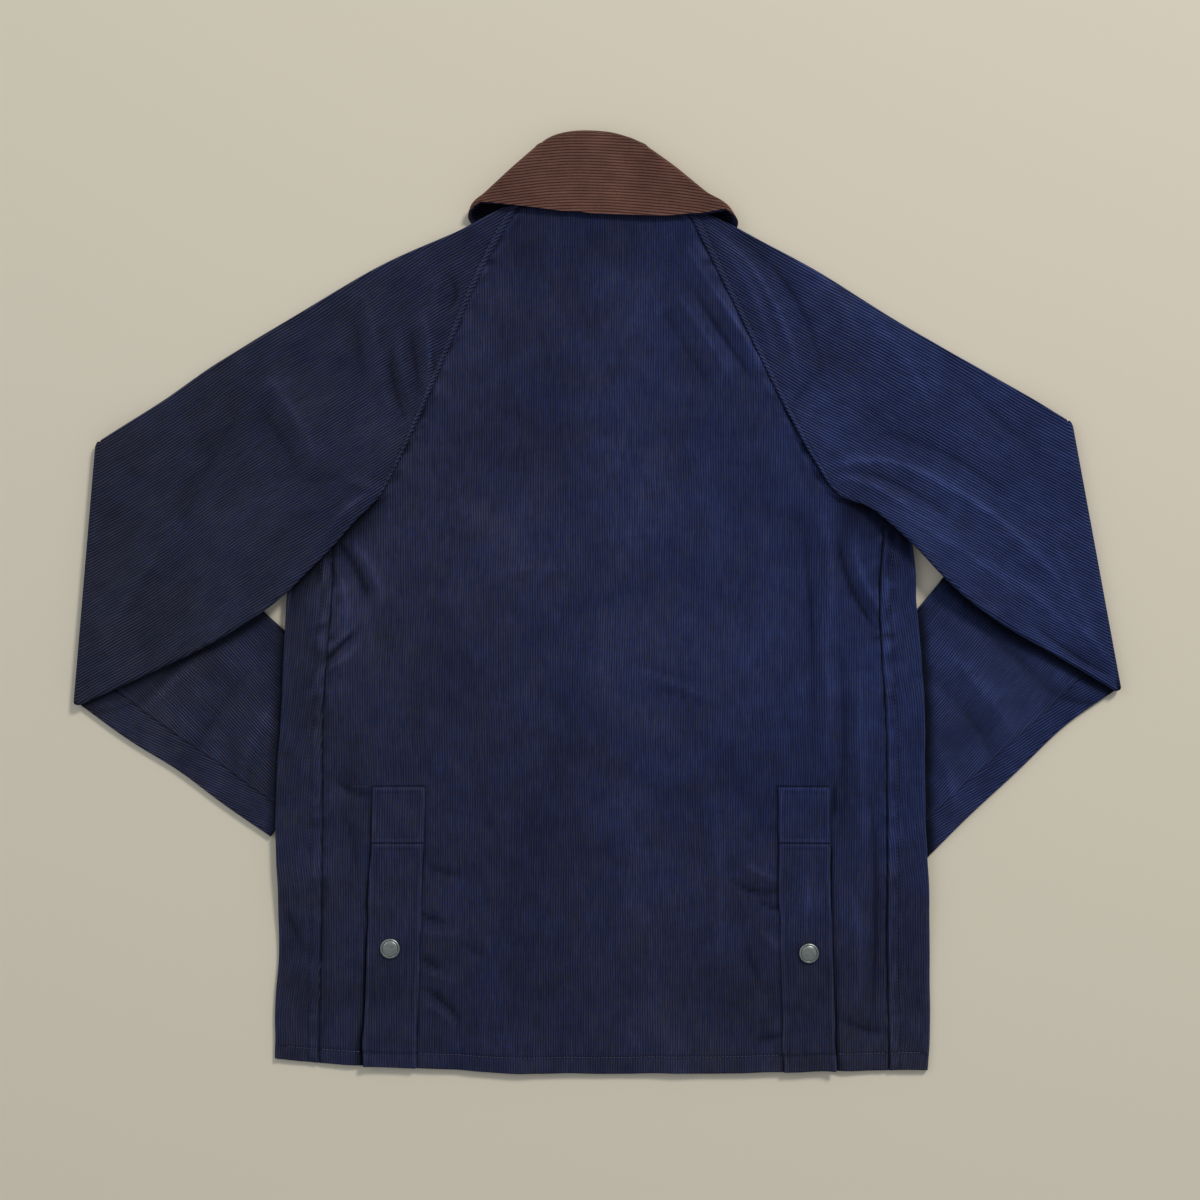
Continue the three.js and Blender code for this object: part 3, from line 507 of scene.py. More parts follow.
def nearest(x, y, curve):
    """How far points are from a curve, on which side of it (-1 or 1), and how far along."""
    best = np.full(x.shape, np.inf)
    side, along = np.zeros(x.shape), np.zeros(x.shape)
    for k, ((ax, ay), (bx, by)) in enumerate(zip(curve, curve[1:])):
        dx, dy = bx - ax, by - ay
        t = np.clip(((x - ax) * dx + (y - ay) * dy) / (dx * dx + dy * dy), 0, 1)
        ox, oy = x - ax - t * dx, y - ay - t * dy
        off = np.hypot(ox, oy)
        closer = off < best
        best = np.where(closer, off, best)
        side = np.where(closer, np.sign(ox * dy - oy * dx), side)
        along = np.where(closer, (k + t) / CREASE_PIECES, along)
    return best, side, along


def crease_relief(x, y, creases):
    """The height of all the creases of a table at each point, and of their sharp crests, used only
    to paint highlights on ridges and shade in troughs.
    """
    total = np.zeros(np.broadcast(x, y).shape)
    crest_highlight = total.copy()
    for c in creases:
        reach = 3 * c["width"]
        xs, ys = (c["x1"], c["x2"], c["x3"]), (c["y1"], c["y2"], c["y3"])
        near = (
            (x > min(xs) - reach) & (x < max(xs) + reach)
            & (y > min(ys) - reach) & (y < max(ys) + reach)
        )
        if not near.any():
            continue
        best, side, along = nearest(x[near], y[near], crease_curve(c))
        taper = np.sin(np.pi * np.clip(along * 0.94 + 0.03, 0, 1)) ** 0.6
        height = CREASE_LIFT * c["height"] * taper
        # A lean makes one side steeper. The soft part rounds the top.
        soft = 0.2 * c["width"]
        off = np.hypot(best * (1 + c["lean"] * side), soft) - soft
        total[near] += height * np.exp(-off / (0.62 * c["width"]))
        crest_highlight[near] += height * dip(best, np.minimum(0.34 * c["width"], 2.2))
    return total, crest_highlight


def slack(x, y):
    """The soft unevenness of cloth that nothing stretches."""
    return (
        0.7 * lattice_noise(x, y * 0.5, 34, 3)
        + 0.42 * lattice_noise(x + 0.3 * y, y * 0.7, 17, 5)
        + 0.14 * lattice_noise(x - 0.4 * y, y, 8, 8)
    )


def relief(x, y, creases=CREASES):
    """Every crease and the slack between them: the cloth's height over its plain form."""
    return crease_relief(x, y, creases)[0] + slack(x, y)


def wear_and_crease_light(x, y, creases=CREASES):
    """Partly wear and partly painted light: the pile is rubbed pale on ridges and carries a painted
    highlight, brightest on their crests, painted shade darkens the troughs, and painted light and
    shade follow the slack's rises and hollows.
    """
    height, crest_highlight = crease_relief(x, y, creases)
    return np.clip(1 + 0.08 * height + 0.1 * slack(x, y) + 0.12 * crest_highlight, 0.36, 1.6)


def pucker(distance, along, width):
    """The small gathers that stitching draws up beside a seam."""
    return lattice_noise(distance * 0.8, along, 5.0, 21) * dip(distance, width)


def gathered(level):
    """How much the side seams' gathers show: less beside the vents than above them."""
    return mix(0.35, 1, ease((level + 130) / 90))


def swell(x, y):
    """The body swells a little between its edges, and lies flat under the collar."""
    return 1.4 * np.clip(1 - np.abs(x / 238) ** 2.5, 0, 1) * (1 - ease((y - 230) / 80))


def covered(x, y):
    """Where a sleeve lies on a corner of the body: 0 to 1."""
    left = lift(x, y, BODY_CORNERS["left"], 1.0)
    return np.where(x < 0, left, lift(x, y, BODY_CORNERS["right"], 1.0))


def body_thickness(x, y):
    """From the front's outer face to the back's, creases and all."""
    bare = 1 - covered(x, y)
    return np.maximum(TUBE + (swell(x, y) + relief(x, y)) * bare, 2 * CLOTH + 0.3)


def back_top(x, y):
    """The height of the back's upper face."""
    return body_floor(x, y) + body_thickness(x, y)


def hem_shift(x, y):
    """How far the hem's curve moves a point up."""
    wave = 0.7 * lattice_noise(x, 0 * np.asarray(x), 24, 41)
    return (read(HEM, "x", "y", x) - HEM_Y + wave) * (1 - ease((y - HEM_Y) / HEM_FADE))


def back_edge(side, y):
    """The back panel's edge: the side seam, then the raglan seam."""
    seam = read(BODY, "y", side + "Seam", np.minimum(y, SEAM_TOP_Y))
    return np.where(y <= SEAM_TOP_Y, seam, read(RAGLAN, "y", side, y))


def body_edge(side, y):
    """The fold at the body's side, where the front turns over to its seam."""
    y = np.asarray(y, float)
    return read(BODY, "y", side + "Edge", y) + 1.5 * lattice_noise(y, 0 * y, 27, 42)


def grain_map(x, y, wale_turn):
    """Where a point lies on the cloth as it was cut: across the wales, and along them."""
    turned = math.radians(wale_turn)
    across = x * math.sin(turned) - y * math.cos(turned)
    along = x * math.cos(turned) + y * math.sin(turned)
    loose = 1.0 if abs(wale_turn) > 80 else 2.6
    drift = loose * lattice_noise(x, y, 75, 31) + 0.35 * lattice_noise(x, y, 22, 32)
    return np.stack([across + drift, along], 2)


# Distances from a seam at which a panel has columns, and from the hem at which it has rows.
EDGE_STEPS = [0, 0.5, 1.1, 1.8, 2.7, 3.8, 5.0, 6.0, 6.8, 7.6, 8.4, 9.2, 10.4, 12, 14]
HEM_STEPS = [0, 0.5, 1.2, 2.2, 4, 6.5, 9.5, 11.8, 12.7, 13.5, 14.3, 15.4, 17.5, 20.5]


def to_world(points):
    """Where pattern points lie in the frame."""
    low = BEFORE[0]
    offset = np.array([low.x, low.y, low.z])
    return offset + (points - np.array(PATTERN_LOW)) * UNIT


# ---------------------------------------------------------------- meshes
# How pale the cloth's inner side is beside its outer side.
INSIDE_TONE = 0.8


def make_mesh(name, points, faces, grain=None, tone=None, sharp=50):
    """A smooth mesh in the scene from pattern points, with its grain map and its tone."""
    mesh = bpy.data.meshes.new(name)
    mesh.from_pydata(to_world(points).tolist(), [], faces)
    mesh.polygons.foreach_set("use_smooth", np.ones(len(mesh.polygons), bool))
    corners = np.zeros(len(mesh.loops), np.int32)
    mesh.loops.foreach_get("vertex_index", corners)
    if grain is not None:
        layer = mesh.uv_layers.new(name="grain")
        layer.uv.foreach_set("vector", (grain[corners] * UNIT).astype(np.float32).ravel())
    if tone is not None:
        shade = mesh.attributes.new("tone", "FLOAT", "POINT")
        shade.data.foreach_set("value", tone.astype(np.float32).ravel())
    mesh.update()
    mesh.validate()
    mesh.set_sharp_from_angle(angle=math.radians(sharp))
    thing = bpy.data.objects.new(name, mesh)
    bpy.context.scene.collection.objects.link(thing)
    return thing


def shell(name, outer, inner, grain, tone, around=False, keep=None):
    """A closed wall of cloth between two grids of points."""
    rows, columns = outer.shape[:2]
    cells = columns if around else columns - 1
    used = np.ones((rows - 1, cells), bool) if keep is None else keep
    start = rows * columns
    index = np.arange(start).reshape(rows, columns)
    i, j = np.nonzero(used)
    k = (j + 1) % columns
    a, b, c, d = index[i, j], index[i, k], index[i + 1, k], index[i + 1, j]
    faces = [np.stack([a, b, c, d], 1), np.stack([a, d, c, b], 1) + start]

    def rim(mask, p, q):
        p, q = p[mask], q[mask]
        faces.append(np.stack([p, p + start, q + start, q], 1))

    def missing(di, dj):
        ni, nj = i + di, j + dj
        if around:
            nj = nj % cells
        inside = (ni >= 0) & (ni < rows - 1) & (nj >= 0) & (nj < cells)
        held = np.zeros(len(i), bool)
        held[inside] = used[ni[inside], nj[inside]]
        return ~held

    rim(missing(-1, 0), a, b)
    rim(missing(1, 0), c, d)
    rim(missing(0, -1), d, a)
    rim(missing(0, 1), b, c)
    faces = np.concatenate(faces)
    points = np.concatenate([outer.reshape(-1, 3), inner.reshape(-1, 3)])
    # Turn the faces outwards if the grids ran the other way round.
    p = points[faces]
    volume = np.einsum("ij,ij->i", p[:, 0], np.cross(p[:, 1], p[:, 2])).sum()
    volume += np.einsum("ij,ij->i", p[:, 0], np.cross(p[:, 2], p[:, 3])).sum()
    if volume < 0:
        faces = faces[:, ::-1]
    used_points = np.unique(faces)
    renumber = np.full(len(points), -1)
    renumber[used_points] = np.arange(len(used_points))
    maps = np.concatenate([grain.reshape(-1, 2)] * 2)[used_points]
    tones = np.concatenate([tone.ravel(), tone.ravel() * INSIDE_TONE])[used_points]
    return make_mesh(name, points[used_points], renumber[faces].tolist(), maps, tones)


def cloth(piece, nodes, slot, material, flat, area, held="laid", rests_on=(), soft=0.0):
    """Gives a piece of cloth its material and the softness of its grooves, hangs it from the root
    and hides the solids that it replaces. Its flat size and area, in pattern millimetres, are not
    used, and soft is how much shallower the grooves between its wales are."""
    piece.data.materials.append(material)
    # Soft also makes the grooves' colour paler, and that colour is partly painted shade.
    layer = piece.data.attributes.new("soft", "FLOAT", "POINT")
    layer.data.foreach_set("value", np.full(len(piece.data.vertices), soft, np.float32))
    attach(piece, "root")
    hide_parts(*nodes)
    flat = tuple(side * UNIT for side in flat)


# ---------------------------------------------------------------- materials
class Value:
    """A shader socket that Python's arithmetic works on."""

    def __init__(self, nodes, socket):
        self.nodes, self.socket = nodes, socket

    def math(self, operation, *others):
        """A Math node on this value and others."""
        inputs = dict(enumerate((self, *others)))
        return self.nodes.add("ShaderNodeMath", {"operation": operation}, inputs)

    def other(self, name):
        """Another output of the same node."""
        return Value(self.nodes, self.socket.node.outputs[name])

    def __add__(self, right):
        return self.math("ADD", right)

    def __sub__(self, right):
        return self.math("SUBTRACT", right)

    def __mul__(self, right):
        return self.math("MULTIPLY", right)

    def __truediv__(self, right):
        return self.math("DIVIDE", right)

    def __pow__(self, right):
        return self.math("POWER", right)

    __radd__, __rmul__ = __add__, __mul__

    def __rsub__(self, left):
        return self.nodes.add("ShaderNodeMath", {"operation": "SUBTRACT"}, {0: left, 1: self})


class Nodes:
    """The node tree of one material."""

    def __init__(self, name):
        self.material = bpy.data.materials.new(name)
        self.material.use_nodes = True
        self.tree = self.material.node_tree
        self.tree.nodes.clear()

    def add(self, kind, settings=None, inputs=None, output=0):
        """Any node: its type, its settings, the values or links of its sockets, its output."""
        node = self.tree.nodes.new(kind)
        for key, value in (settings or {}).items():
            setattr(node, key, value)
        for key, value in (inputs or {}).items():
            if isinstance(value, Value):
                self.tree.links.new(value.socket, node.inputs[key])
            else:
                node.inputs[key].default_value = value
        return Value(self, node.outputs[output])

    def place(self):
        return self.add("ShaderNodeTexCoord", None, None, "Object")

    def attribute(self, name):
        return self.add("ShaderNodeAttribute", {"attribute_name": name}, None, "Fac")

    def vector(self, x, y):
        return self.add("ShaderNodeCombineXYZ", None, {0: x, 1: y})

    def noise(self, vector, scale, detail=2.0, rough=0.5):
        inputs = {"Vector": vector, "Scale": scale, "Detail": detail, "Roughness": rough}
        return self.add("ShaderNodeTexNoise", None, inputs, "Fac")

    def blend(self, amount, first, second):
        inputs = {0: amount, 6: first, 7: second}
        return self.add("ShaderNodeMix", {"data_type": "RGBA"}, inputs, 2)

    def shaded(self, colour, light):
        inputs = {0: colour, "Scale": light}
        return self.add("ShaderNodeVectorMath", {"operation": "SCALE"}, inputs)

    def bump(self, height, distance, strength):
        inputs = {"Strength": strength, "Distance": distance, "Height": height}
        return self.add("ShaderNodeBump", None, inputs)

    def surface(self, **inputs):
        """The material's one shader, whose sockets are named with _ for each space."""
        names = {key.replace("_", " "): value for key, value in inputs.items()}
        shader = self.add("ShaderNodeBsdfPrincipled", None, names)
        node = self.tree.nodes.new("ShaderNodeOutputMaterial")
        self.tree.links.new(shader.socket, node.inputs["Surface"])
        return self.material


def corduroy(name, pile, worn_pile, groove, sheen, pitch, depth, blotch, grey_shift):
    """Ribbed pile cloth: rounded wales with dark grooves between, whose colour is partly the
    cloth's own and partly painted shade, fibres and worn patches.
    """
    n = Nodes(name)
    grain = n.add("ShaderNodeUVMap", {"uv_map": "grain"})
    across = n.add("ShaderNodeSeparateXYZ", None, {0: grain})
    along = across.other("Y")
    place = n.place()
    wander = n.noise(place, 22.0) - 0.5
    turns = across / pitch + wander * 0.8
    from_middle = (turns.math("FRACT") * 2 - 1).math("ABSOLUTE")
    wale = 1 - from_middle**2.6 * (1 - n.attribute("soft"))
    fibre = n.noise(n.vector(across * 2600, along * 900), 1.0)
    # Each wale is rubbed differently along its length, and the nap lies in wider patches.
    rub = n.noise(n.vector(across * 520, along * 46), 1.0, 3.0, 0.6)
    nap = n.noise(place, 11.0, 4.0, 0.6)
    lint = n.noise(place, 60.0, 3.0, 0.6)
    light = (
        (0.66 + fibre * 0.68)
        * (1 + (rub - 0.5) * (1.1 * blotch))
        * (1 + (nap - 0.5) * (0.8 * blotch))
        * (1 + (lint - 0.5) * (0.8 * blotch))
        * n.attribute("tone")
    )
    # The pile is painted greyer towards the left sleeve, painted light for the way its nap takes
    # the light there, and greyer at the hem's right corner.
    spot = n.add("ShaderNodeSeparateXYZ", None, {0: place})
    hem = (spot.other("Y") * -1 - 0.14).math("MAXIMUM", 0) * (spot + 0.1).math("MAXIMUM", 0)
    grey_tint = (hem * 7 - spot) * grey_shift
    speckle = n.noise(place, 420.0, 2.0, 0.7) * 2.2
    tint = n.noise(place, 26.0, 3.0, 0.6) * 0.8 + speckle - 1.12 + (rub - 0.5) * 0.8 + grey_tint
    tint = n.add("ShaderNodeClamp", None, {0: tint})
    colour = n.blend(wale, (*groove, 1), n.blend(tint, (*pile, 1), (*worn_pile, 1)))
    return n.surface(
        Base_Color=n.shaded(colour, light),
        Roughness=0.95,
        Specular_IOR_Level=0.06,
        Sheen_Weight=0.14,
        Sheen_Roughness=0.35,
        Sheen_Tint=(*sheen, 1),
        Normal=n.bump(wale + fibre * 0.3 + lint * 0.25, depth, 1.0),
    )


def thread(name, colour):
    """Twisted sewing thread."""
    n = Nodes(name)
    twist = n.noise(n.place(), 2400.0)
    return n.surface(
        Base_Color=n.shaded(colour, 0.7 + twist * 0.6),
        Roughness=0.7,
        Specular_IOR_Level=0.3,
    )


def old_metal(name, colour):
    """Dulled plated steel with fine scratches and a darker bloom."""
    n = Nodes(name)
    place = n.place()
    bloom = n.noise(place, 420.0, 4.0)
    return n.surface(
        Base_Color=n.shaded(colour, (0.72 + bloom * 0.5) * n.attribute("tone")),
        Metallic=1.0,
        Roughness=0.28 + bloom * 0.2,
        Normal=n.bump(n.noise(place, 3800.0), 0.00005, 0.5),
    )


def woven_tape(name, colour):
    """The plain weave of a zip's tape, with its closed coil in the middle."""
    n = Nodes(name)
    x = n.add("ShaderNodeSeparateXYZ", None, {0: n.place()})
    y = x.other("Y")
    weave = (x * 7000).math("SINE") * (y * 7000).math("SINE")
    coil = (y * 4200).math("SINE")
    return n.surface(
        Base_Color=n.shaded(colour, 0.85 + weave * 0.15),
        Roughness=0.7,
        Normal=n.bump(weave + coil, 0.0002, 0.6),
    )


def once(maker, name, *settings):
    """The material of that name, made when it is first asked for."""
    return bpy.data.materials.get(name) or maker(name, *settings)


def navy():
    s = bpy.context.scene.jacket_cloth
    return once(corduroy, "navy corduroy", tuple(s.navy), tuple(s.navy_worn), tuple(s.navy_groove),
                (0.45, 0.55, 1.0), s.wale * UNIT * 1000, s.wale_depth, 1.0, 1.3)


def brown():
    s = bpy.context.scene.jacket_cloth
    return once(corduroy, "brown corduroy", tuple(s.brown), tuple(s.brown_worn),
                tuple(s.brown_groove), (1.0, 0.75, 0.65), s.collar_wale * UNIT * 1000,
                s.wale_depth * 0.8, 0.6, 0.0)


def navy_thread():
    return once(thread, "navy thread", tuple(bpy.context.scene.jacket_cloth.thread))


# ---------------------------------------------------------------- the body
def hem_levels(top, step):
    """Rows from the hem up to a level, close together at the hem's stitching."""
    return [HEM_Y + up for up in HEM_STEPS] + list(np.arange(HEM_Y + HEM_ROWS_TOP, top, step))


def body_levels():
    """Rows from the hem to the neckline, with close ones across the tabs' upper edge."""
    levels = [v for v in hem_levels(NECK_Y - 2, 2.95) if abs(v - TAB_TOP) > 2.4]
    return np.array(sorted(levels + [TAB_TOP + d for d in (-1, -0.1, 0.5, 1.1, 2)] + [NECK_Y]))


def hem_rows(x, level):
    """Moves the rows near the hem so that its stitch line drifts up towards the right."""
    up = level - HEM_Y
    drift = mix(-0.9, 2.0, np.clip((x + 275) / 550, 0, 1))
    return level + drift * ease(up / 12) * (1 - ease((up - 20) / 24))


def hem_form(level):
    """The hem: rounded edge, puffed band and the groove of its stitch line."""
    up = level - HEM_Y
    puff = 0.45 * np.sin(np.pi * np.clip(up / HEM_STITCH, 0, 1))
    return puff - 0.6 * dip(up - HEM_STITCH, 1.1) - rounded(up, 1.3)


def hem_tone(level):
    """The hem's stitch line lies in shade, and its lower edge is rubbed."""
    up = level - HEM_Y
    return (1 - 0.3 * dip(up - HEM_STITCH, 1.2)) * (1 + 0.12 * dip(up - 2.4, 1.6))


def back_grid():
    """The back's points before the hem's curve, and how far each is from both side edges."""
    levels = body_levels()
    gap = np.where(levels < UNDERARM_Y, SEAM / 2, RAGLAN_GAP)
    left, right = back_edge("left", levels) + gap, back_edge("right", levels) - gap
    last = EDGE_STEPS[-1]
    shares = np.linspace(0, 1, 152)[1:-1]
    tuck = mix(0.05, 1.6, ease((levels - UNDERARM_Y) / 6))
    columns = [left - tuck] + [left + d for d in EDGE_STEPS]
    columns += [mix(left + last, right - last, s) for s in shares]
    columns += [right - d for d in reversed(EDGE_STEPS)] + [right + tuck]
    x = np.stack(columns, 1)
    level = np.repeat(levels[:, None], x.shape[1], 1)
    return x, level, x - left[:, None], right[:, None] - x


def vent_sides(side, level):
    """Where the two long edges of a vent's strip run, at each level."""
    v = VENTS[side]
    t = np.clip((level - HEM_Y) / (TAB_TOP - HEM_Y), 0, 1)
    left = back_edge("left", level) + SEAM / 2
    right = back_edge("right", level) - SEAM / 2
    wave = 0.6 * lattice_noise(level, 0 * level, 21, 43)
    return (
        mix(left, right, mix(v["hemFrom"], v["tabFrom"], t)) + wave,
        mix(left, right, mix(v["hemTo"], v["tabTo"], t)) + 0.7 * wave,
    )


def back_surface(x, level):
    """The back panel's upper face at a point: its y, and its height without edges."""
    rows = hem_rows(x, level)
    y = rows + hem_shift(x, rows)
    return y, back_top(x, y) + hem_form(level)


def vent_hollow(side, x, level):
    """The panel sinks beside a strip: how deep, and how dark the painted shade in the gap there is.
    """
    low, high = vent_sides(side, level)
    v = VENTS[side]
    # How far a point lies past the strip's free edge, and past its sewn edge.
    past, sewn = (x - high, low - x) if v["free"] else (low - x, x - high)
    below = 1 - ease((level - TAB_TOP + 2) / 4)
    flare = v["flare"] * (1 - ease((level - HEM_Y) / 70)) ** 1.5
    gaping = below * (1 - ease((level - TAB_BOTTOM + 10) / 12))
    depth = 1.5 * gaping * dip(np.maximum(past, 0), 2.4 + flare) * (past > -8)
    depth += 0.6 * below * dip(np.maximum(sewn, 0), 1.6) * (sewn > -8)
    # Painted shade in the gaps beside the strip's free edge and its sewn edge.
    gap = 0.92 * gaping * dip(np.maximum(past - 0.6, 0), 1.2 + 0.9 * flare) * (past > -4)
    gap = np.maximum(gap, 0.7 * below * dip(past - 0.2, 1.0))
    gap = np.maximum(gap, 0.6 * below * dip(sewn - 0.2, 1.0))
    # A painted shadow lies along the tab's upper edge too.
    within = (x > low - 1) & (x < high + 1)
    gap = np.maximum(gap, 0.65 * within * dip(level - TAB_TOP - 0.5, 0.8))
    return depth, 1 - gap


def edge_line(rows, name, at):
    """A named edge of a sleeve, at those shares of its length: x and y."""
    return read(rows, "at", name + "X", at), read(rows, "at", name + "Y", at)


def below_sleeve(side, x, y, at):
    """How far a point lies below a sleeve's lower edge, read at those shares of its length."""
    edge_x, edge_y = edge_line(UPPER_SLEEVE[side], "underarm", at)
    return np.interp(SIGN[side] * x, SIGN[side] * edge_x, edge_y) - y


# How far each sleeve darkens the body below it.
SHADOW_REACH = {"left": 12, "right": 19}


def arm_shadow(x, y):
    """The body is dark where it goes in under the sleeves."""
    shade = np.ones(np.broadcast(x, y).shape)
    for side, sign in SIGN.items():
        below = np.maximum(below_sleeve(side, x, y, np.linspace(0, 0.6, 30)) * 0.75, 0)
        underarm = sign * UPPER_SLEEVE[side][0]["underarmX"]
        beyond = ease((sign * x - underarm + 10) / 16)
        reach = SHADOW_REACH[side]
        shade -= beyond * (0.62 * dip(below, reach) + 0.26 * dip(below, reach / 3))
    return shade


def body_shade(x, y):
    """Broad darker and lighter areas of the body: a painted shadow below the collar, painted shade
    beside the right raglan seam, by the left underarm and beside the right vent, a lighter band
    just right of the middle and a darker one left of it higher up, and darker towards the hem and
    in a band above it.
    """
    low = 1 - 0.1 * ease((20 - y) / 200) - 0.1 * dip(y + 325, 36)
    collar = 1 - 0.2 * ease((y - 268) / 40)
    middle = 0.09 * dip(x - 52, 34) - 0.1 * dip(x + 60, 55) * ease((y - 60) / 60)
    raglan = 0.18 * dip(x - 95, 30) * dip(y - 255, 60)
    underarm = 0.16 * dip(x + 242, 26) * dip(y, 42)
    beside_vent = 0.13 * dip(x - 100, 26) * dip(y + 225, 55)
    return low * collar * (1 + middle - raglan - underarm - beside_vent)


def build_back():
    """The back panel, from its hem to the neckline."""
    x, level, from_left, from_right = back_grid()
    y, z = back_surface(x, level)
    near = np.minimum(from_left, from_right)
    raglan = ease((level - 84) / 8)
    groove = np.where(x < 0, 1 - 0.55 * raglan, 1)
    z = z - groove * (rounded(near, 0.9) + 0.5 * dip(near, 1.4)) + 0.8 * pucker(near, level, 7)
    z = z - np.where(near < 0, 0.8, 0)
    # Painted shade in the seams' grooves, darkest at the right raglan seam, painted light and shade
    # on the gathers beside them, a painted highlight on the ridge beside the right raglan seam, and
    # painted shade beside the left side seam.
    seam = mix(0.5, mix(0.2, 0.6, x > 0), raglan)
    gather = 1 + 0.5 * gathered(level) * pucker(near, level, 7)
    tone = wear_and_crease_light(x, y) * (1 - seam * dip(near, 0.9)) * hem_tone(level) * gather
    tone = tone * (1 + 0.25 * raglan * dip(near - 4, 3) * (x > 0))
    tone = tone * (1 - 0.12 * (1 - raglan) * dip(from_left - 2, 2.5))
    tone = tone * arm_shadow(x, y) * body_shade(x, y)
    for side in VENTS:
        depth, shade = vent_hollow(side, x, level)
        z = z - depth
        tone = tone * shade
    # No hollow goes down into the front below.
    z = np.maximum(z, body_floor(x, y) + 2 * CLOTH + 0.1)
    outer = np.stack([x, y, z], 2)
    inner = np.stack([x, y, np.minimum(z, back_top(x, y)) - CLOTH], 2)
    return shell("back_cloth", outer, inner, grain_map(x, y, 90.0), tone)


def collar_line(rows, side, at):
    """A line of the collar's front part, from where it turns under to the zip."""
    sign = SIGN[side]
    start = collar_turn(rows, side, at)
    end = (sign * read(rows, "at", "frontX", at), read(rows, "at", "frontY", at))
    t = np.linspace(0, 1, 25)
    bow = np.sin(np.pi * t)
    x = mix(start[0], end[0], t) + sign * FRONT_BOW[0] * bow
    y = mix(start[1], end[1], t) + FRONT_BOW[1] * bow
    return x, y


def collar_turn(rows, side, at):
    """Where a line of the collar has turned under, below its end on top."""
    value = lambda column: read(rows, "at", column, at)
    aside = -SIGN[side] * value("underX")
    return value(side + "X") + aside, value(side + "Y") + value("underY")


def front_inner(side, y):
    """A front's inner edge: the zip, then the neckline."""
    neck_x, neck_y = collar_line(STAND_ROWS, side, 1)
    neck = np.interp(y, neck_y[::-1], np.abs(neck_x[::-1])) + 0.8
    return np.where(y < neck_y[-1], ZIP_EDGE, np.maximum(neck, ZIP_EDGE))


# How dark and wide the painted shade in the groove of each side seam is and how pale the painted
# highlight on the ridge beside it, and how far the stitch line lies inside the seam.
FELLED_SEAM = {
    "left": {"dark": 0.6, "width": 0.9, "ridge": 0.16},
    "right": {"dark": 0.85, "width": 1.3, "ridge": 0.36},
}
SIDE_STITCH = 8.8
# Where each front's side turns in under the arm, and how far its rows rise on top by there.
CORNER = {"left": {"y": 25, "rise": 37}, "right": {"y": 62, "rise": 14}}


def front_outer(side, y):
    """A front's outer edge: the body's side, a slant in under the arm, then the raglan seam."""
    corner = CORNER[side]["y"]
    t = np.clip((y - corner) / (UNDERARM_Y - corner), 0, 1)
    slant = mix(body_edge(side, corner), back_edge(side, np.array(float(UNDERARM_Y))), t)
    high = back_edge(side, np.maximum(y, UNDERARM_Y))
    return np.where(y <= corner, body_edge(side, y), np.where(y >= UNDERARM_Y, high, slant))


def side_surface(side, inland, level):
    """The stretch of a front that shows beside its side seam, felled over the seam."""
    sign = SIGN[side]
    corner, rise = CORNER[side]["y"], CORNER[side]["rise"]
    raised = rise * ease((level + 60) / (corner + 60))
    bend = TUBE / 2
    edge = np.abs(body_edge(side, level))
    seam_x = np.abs(back_edge(side, level + raised)) + SEAM / 2
    reach = edge - bend - seam_x
    x = sign * (seam_x + inland)
    rows = hem_rows(x, level)
    y = rows + raised * (1 - inland / reach) + hem_shift(x, rows)
    felled = 0.5 * ease(inland / 1.5) * (1 - ease((inland - 7.6) / 1.6))
    sewn = -0.6 * dip(inland - SIDE_STITCH, 1.0) - rounded(inland, 1.0)
    sewn = sewn + 1.3 * gathered(level) * pucker(inland - 6, level, 7)
    z = back_top(x, y) + hem_form(level) + felled + sewn
    settle = ease((reach - inland) / 6)
    return x, y, mix(body_floor(x, y) + TUBE, z, settle)


def side_tone(side, inland, level, x, y):
    """That stretch's tone, painted light and shade: painted shade in its seam and along its stitch
    line, a painted highlight on the ridge beside it, and painted light and shade on the gathers.
    """
    seam = FELLED_SEAM[side]
    tone = wear_and_crease_light(x, y) * (1 - seam["dark"] * dip(inland, seam["width"]))
    tone = tone * (1 - 0.34 * dip(inland - SIDE_STITCH, 1.0))
    tone = tone * (1 + seam["ridge"] * dip(inland - 2.6, 1.5) + 0.14 * dip(inland - 6, 2))
    tone = tone * (1 + 0.6 * gathered(level) * pucker(inland - 6, level, 7))
    return tone * arm_shadow(x, y) * body_shade(x, y)


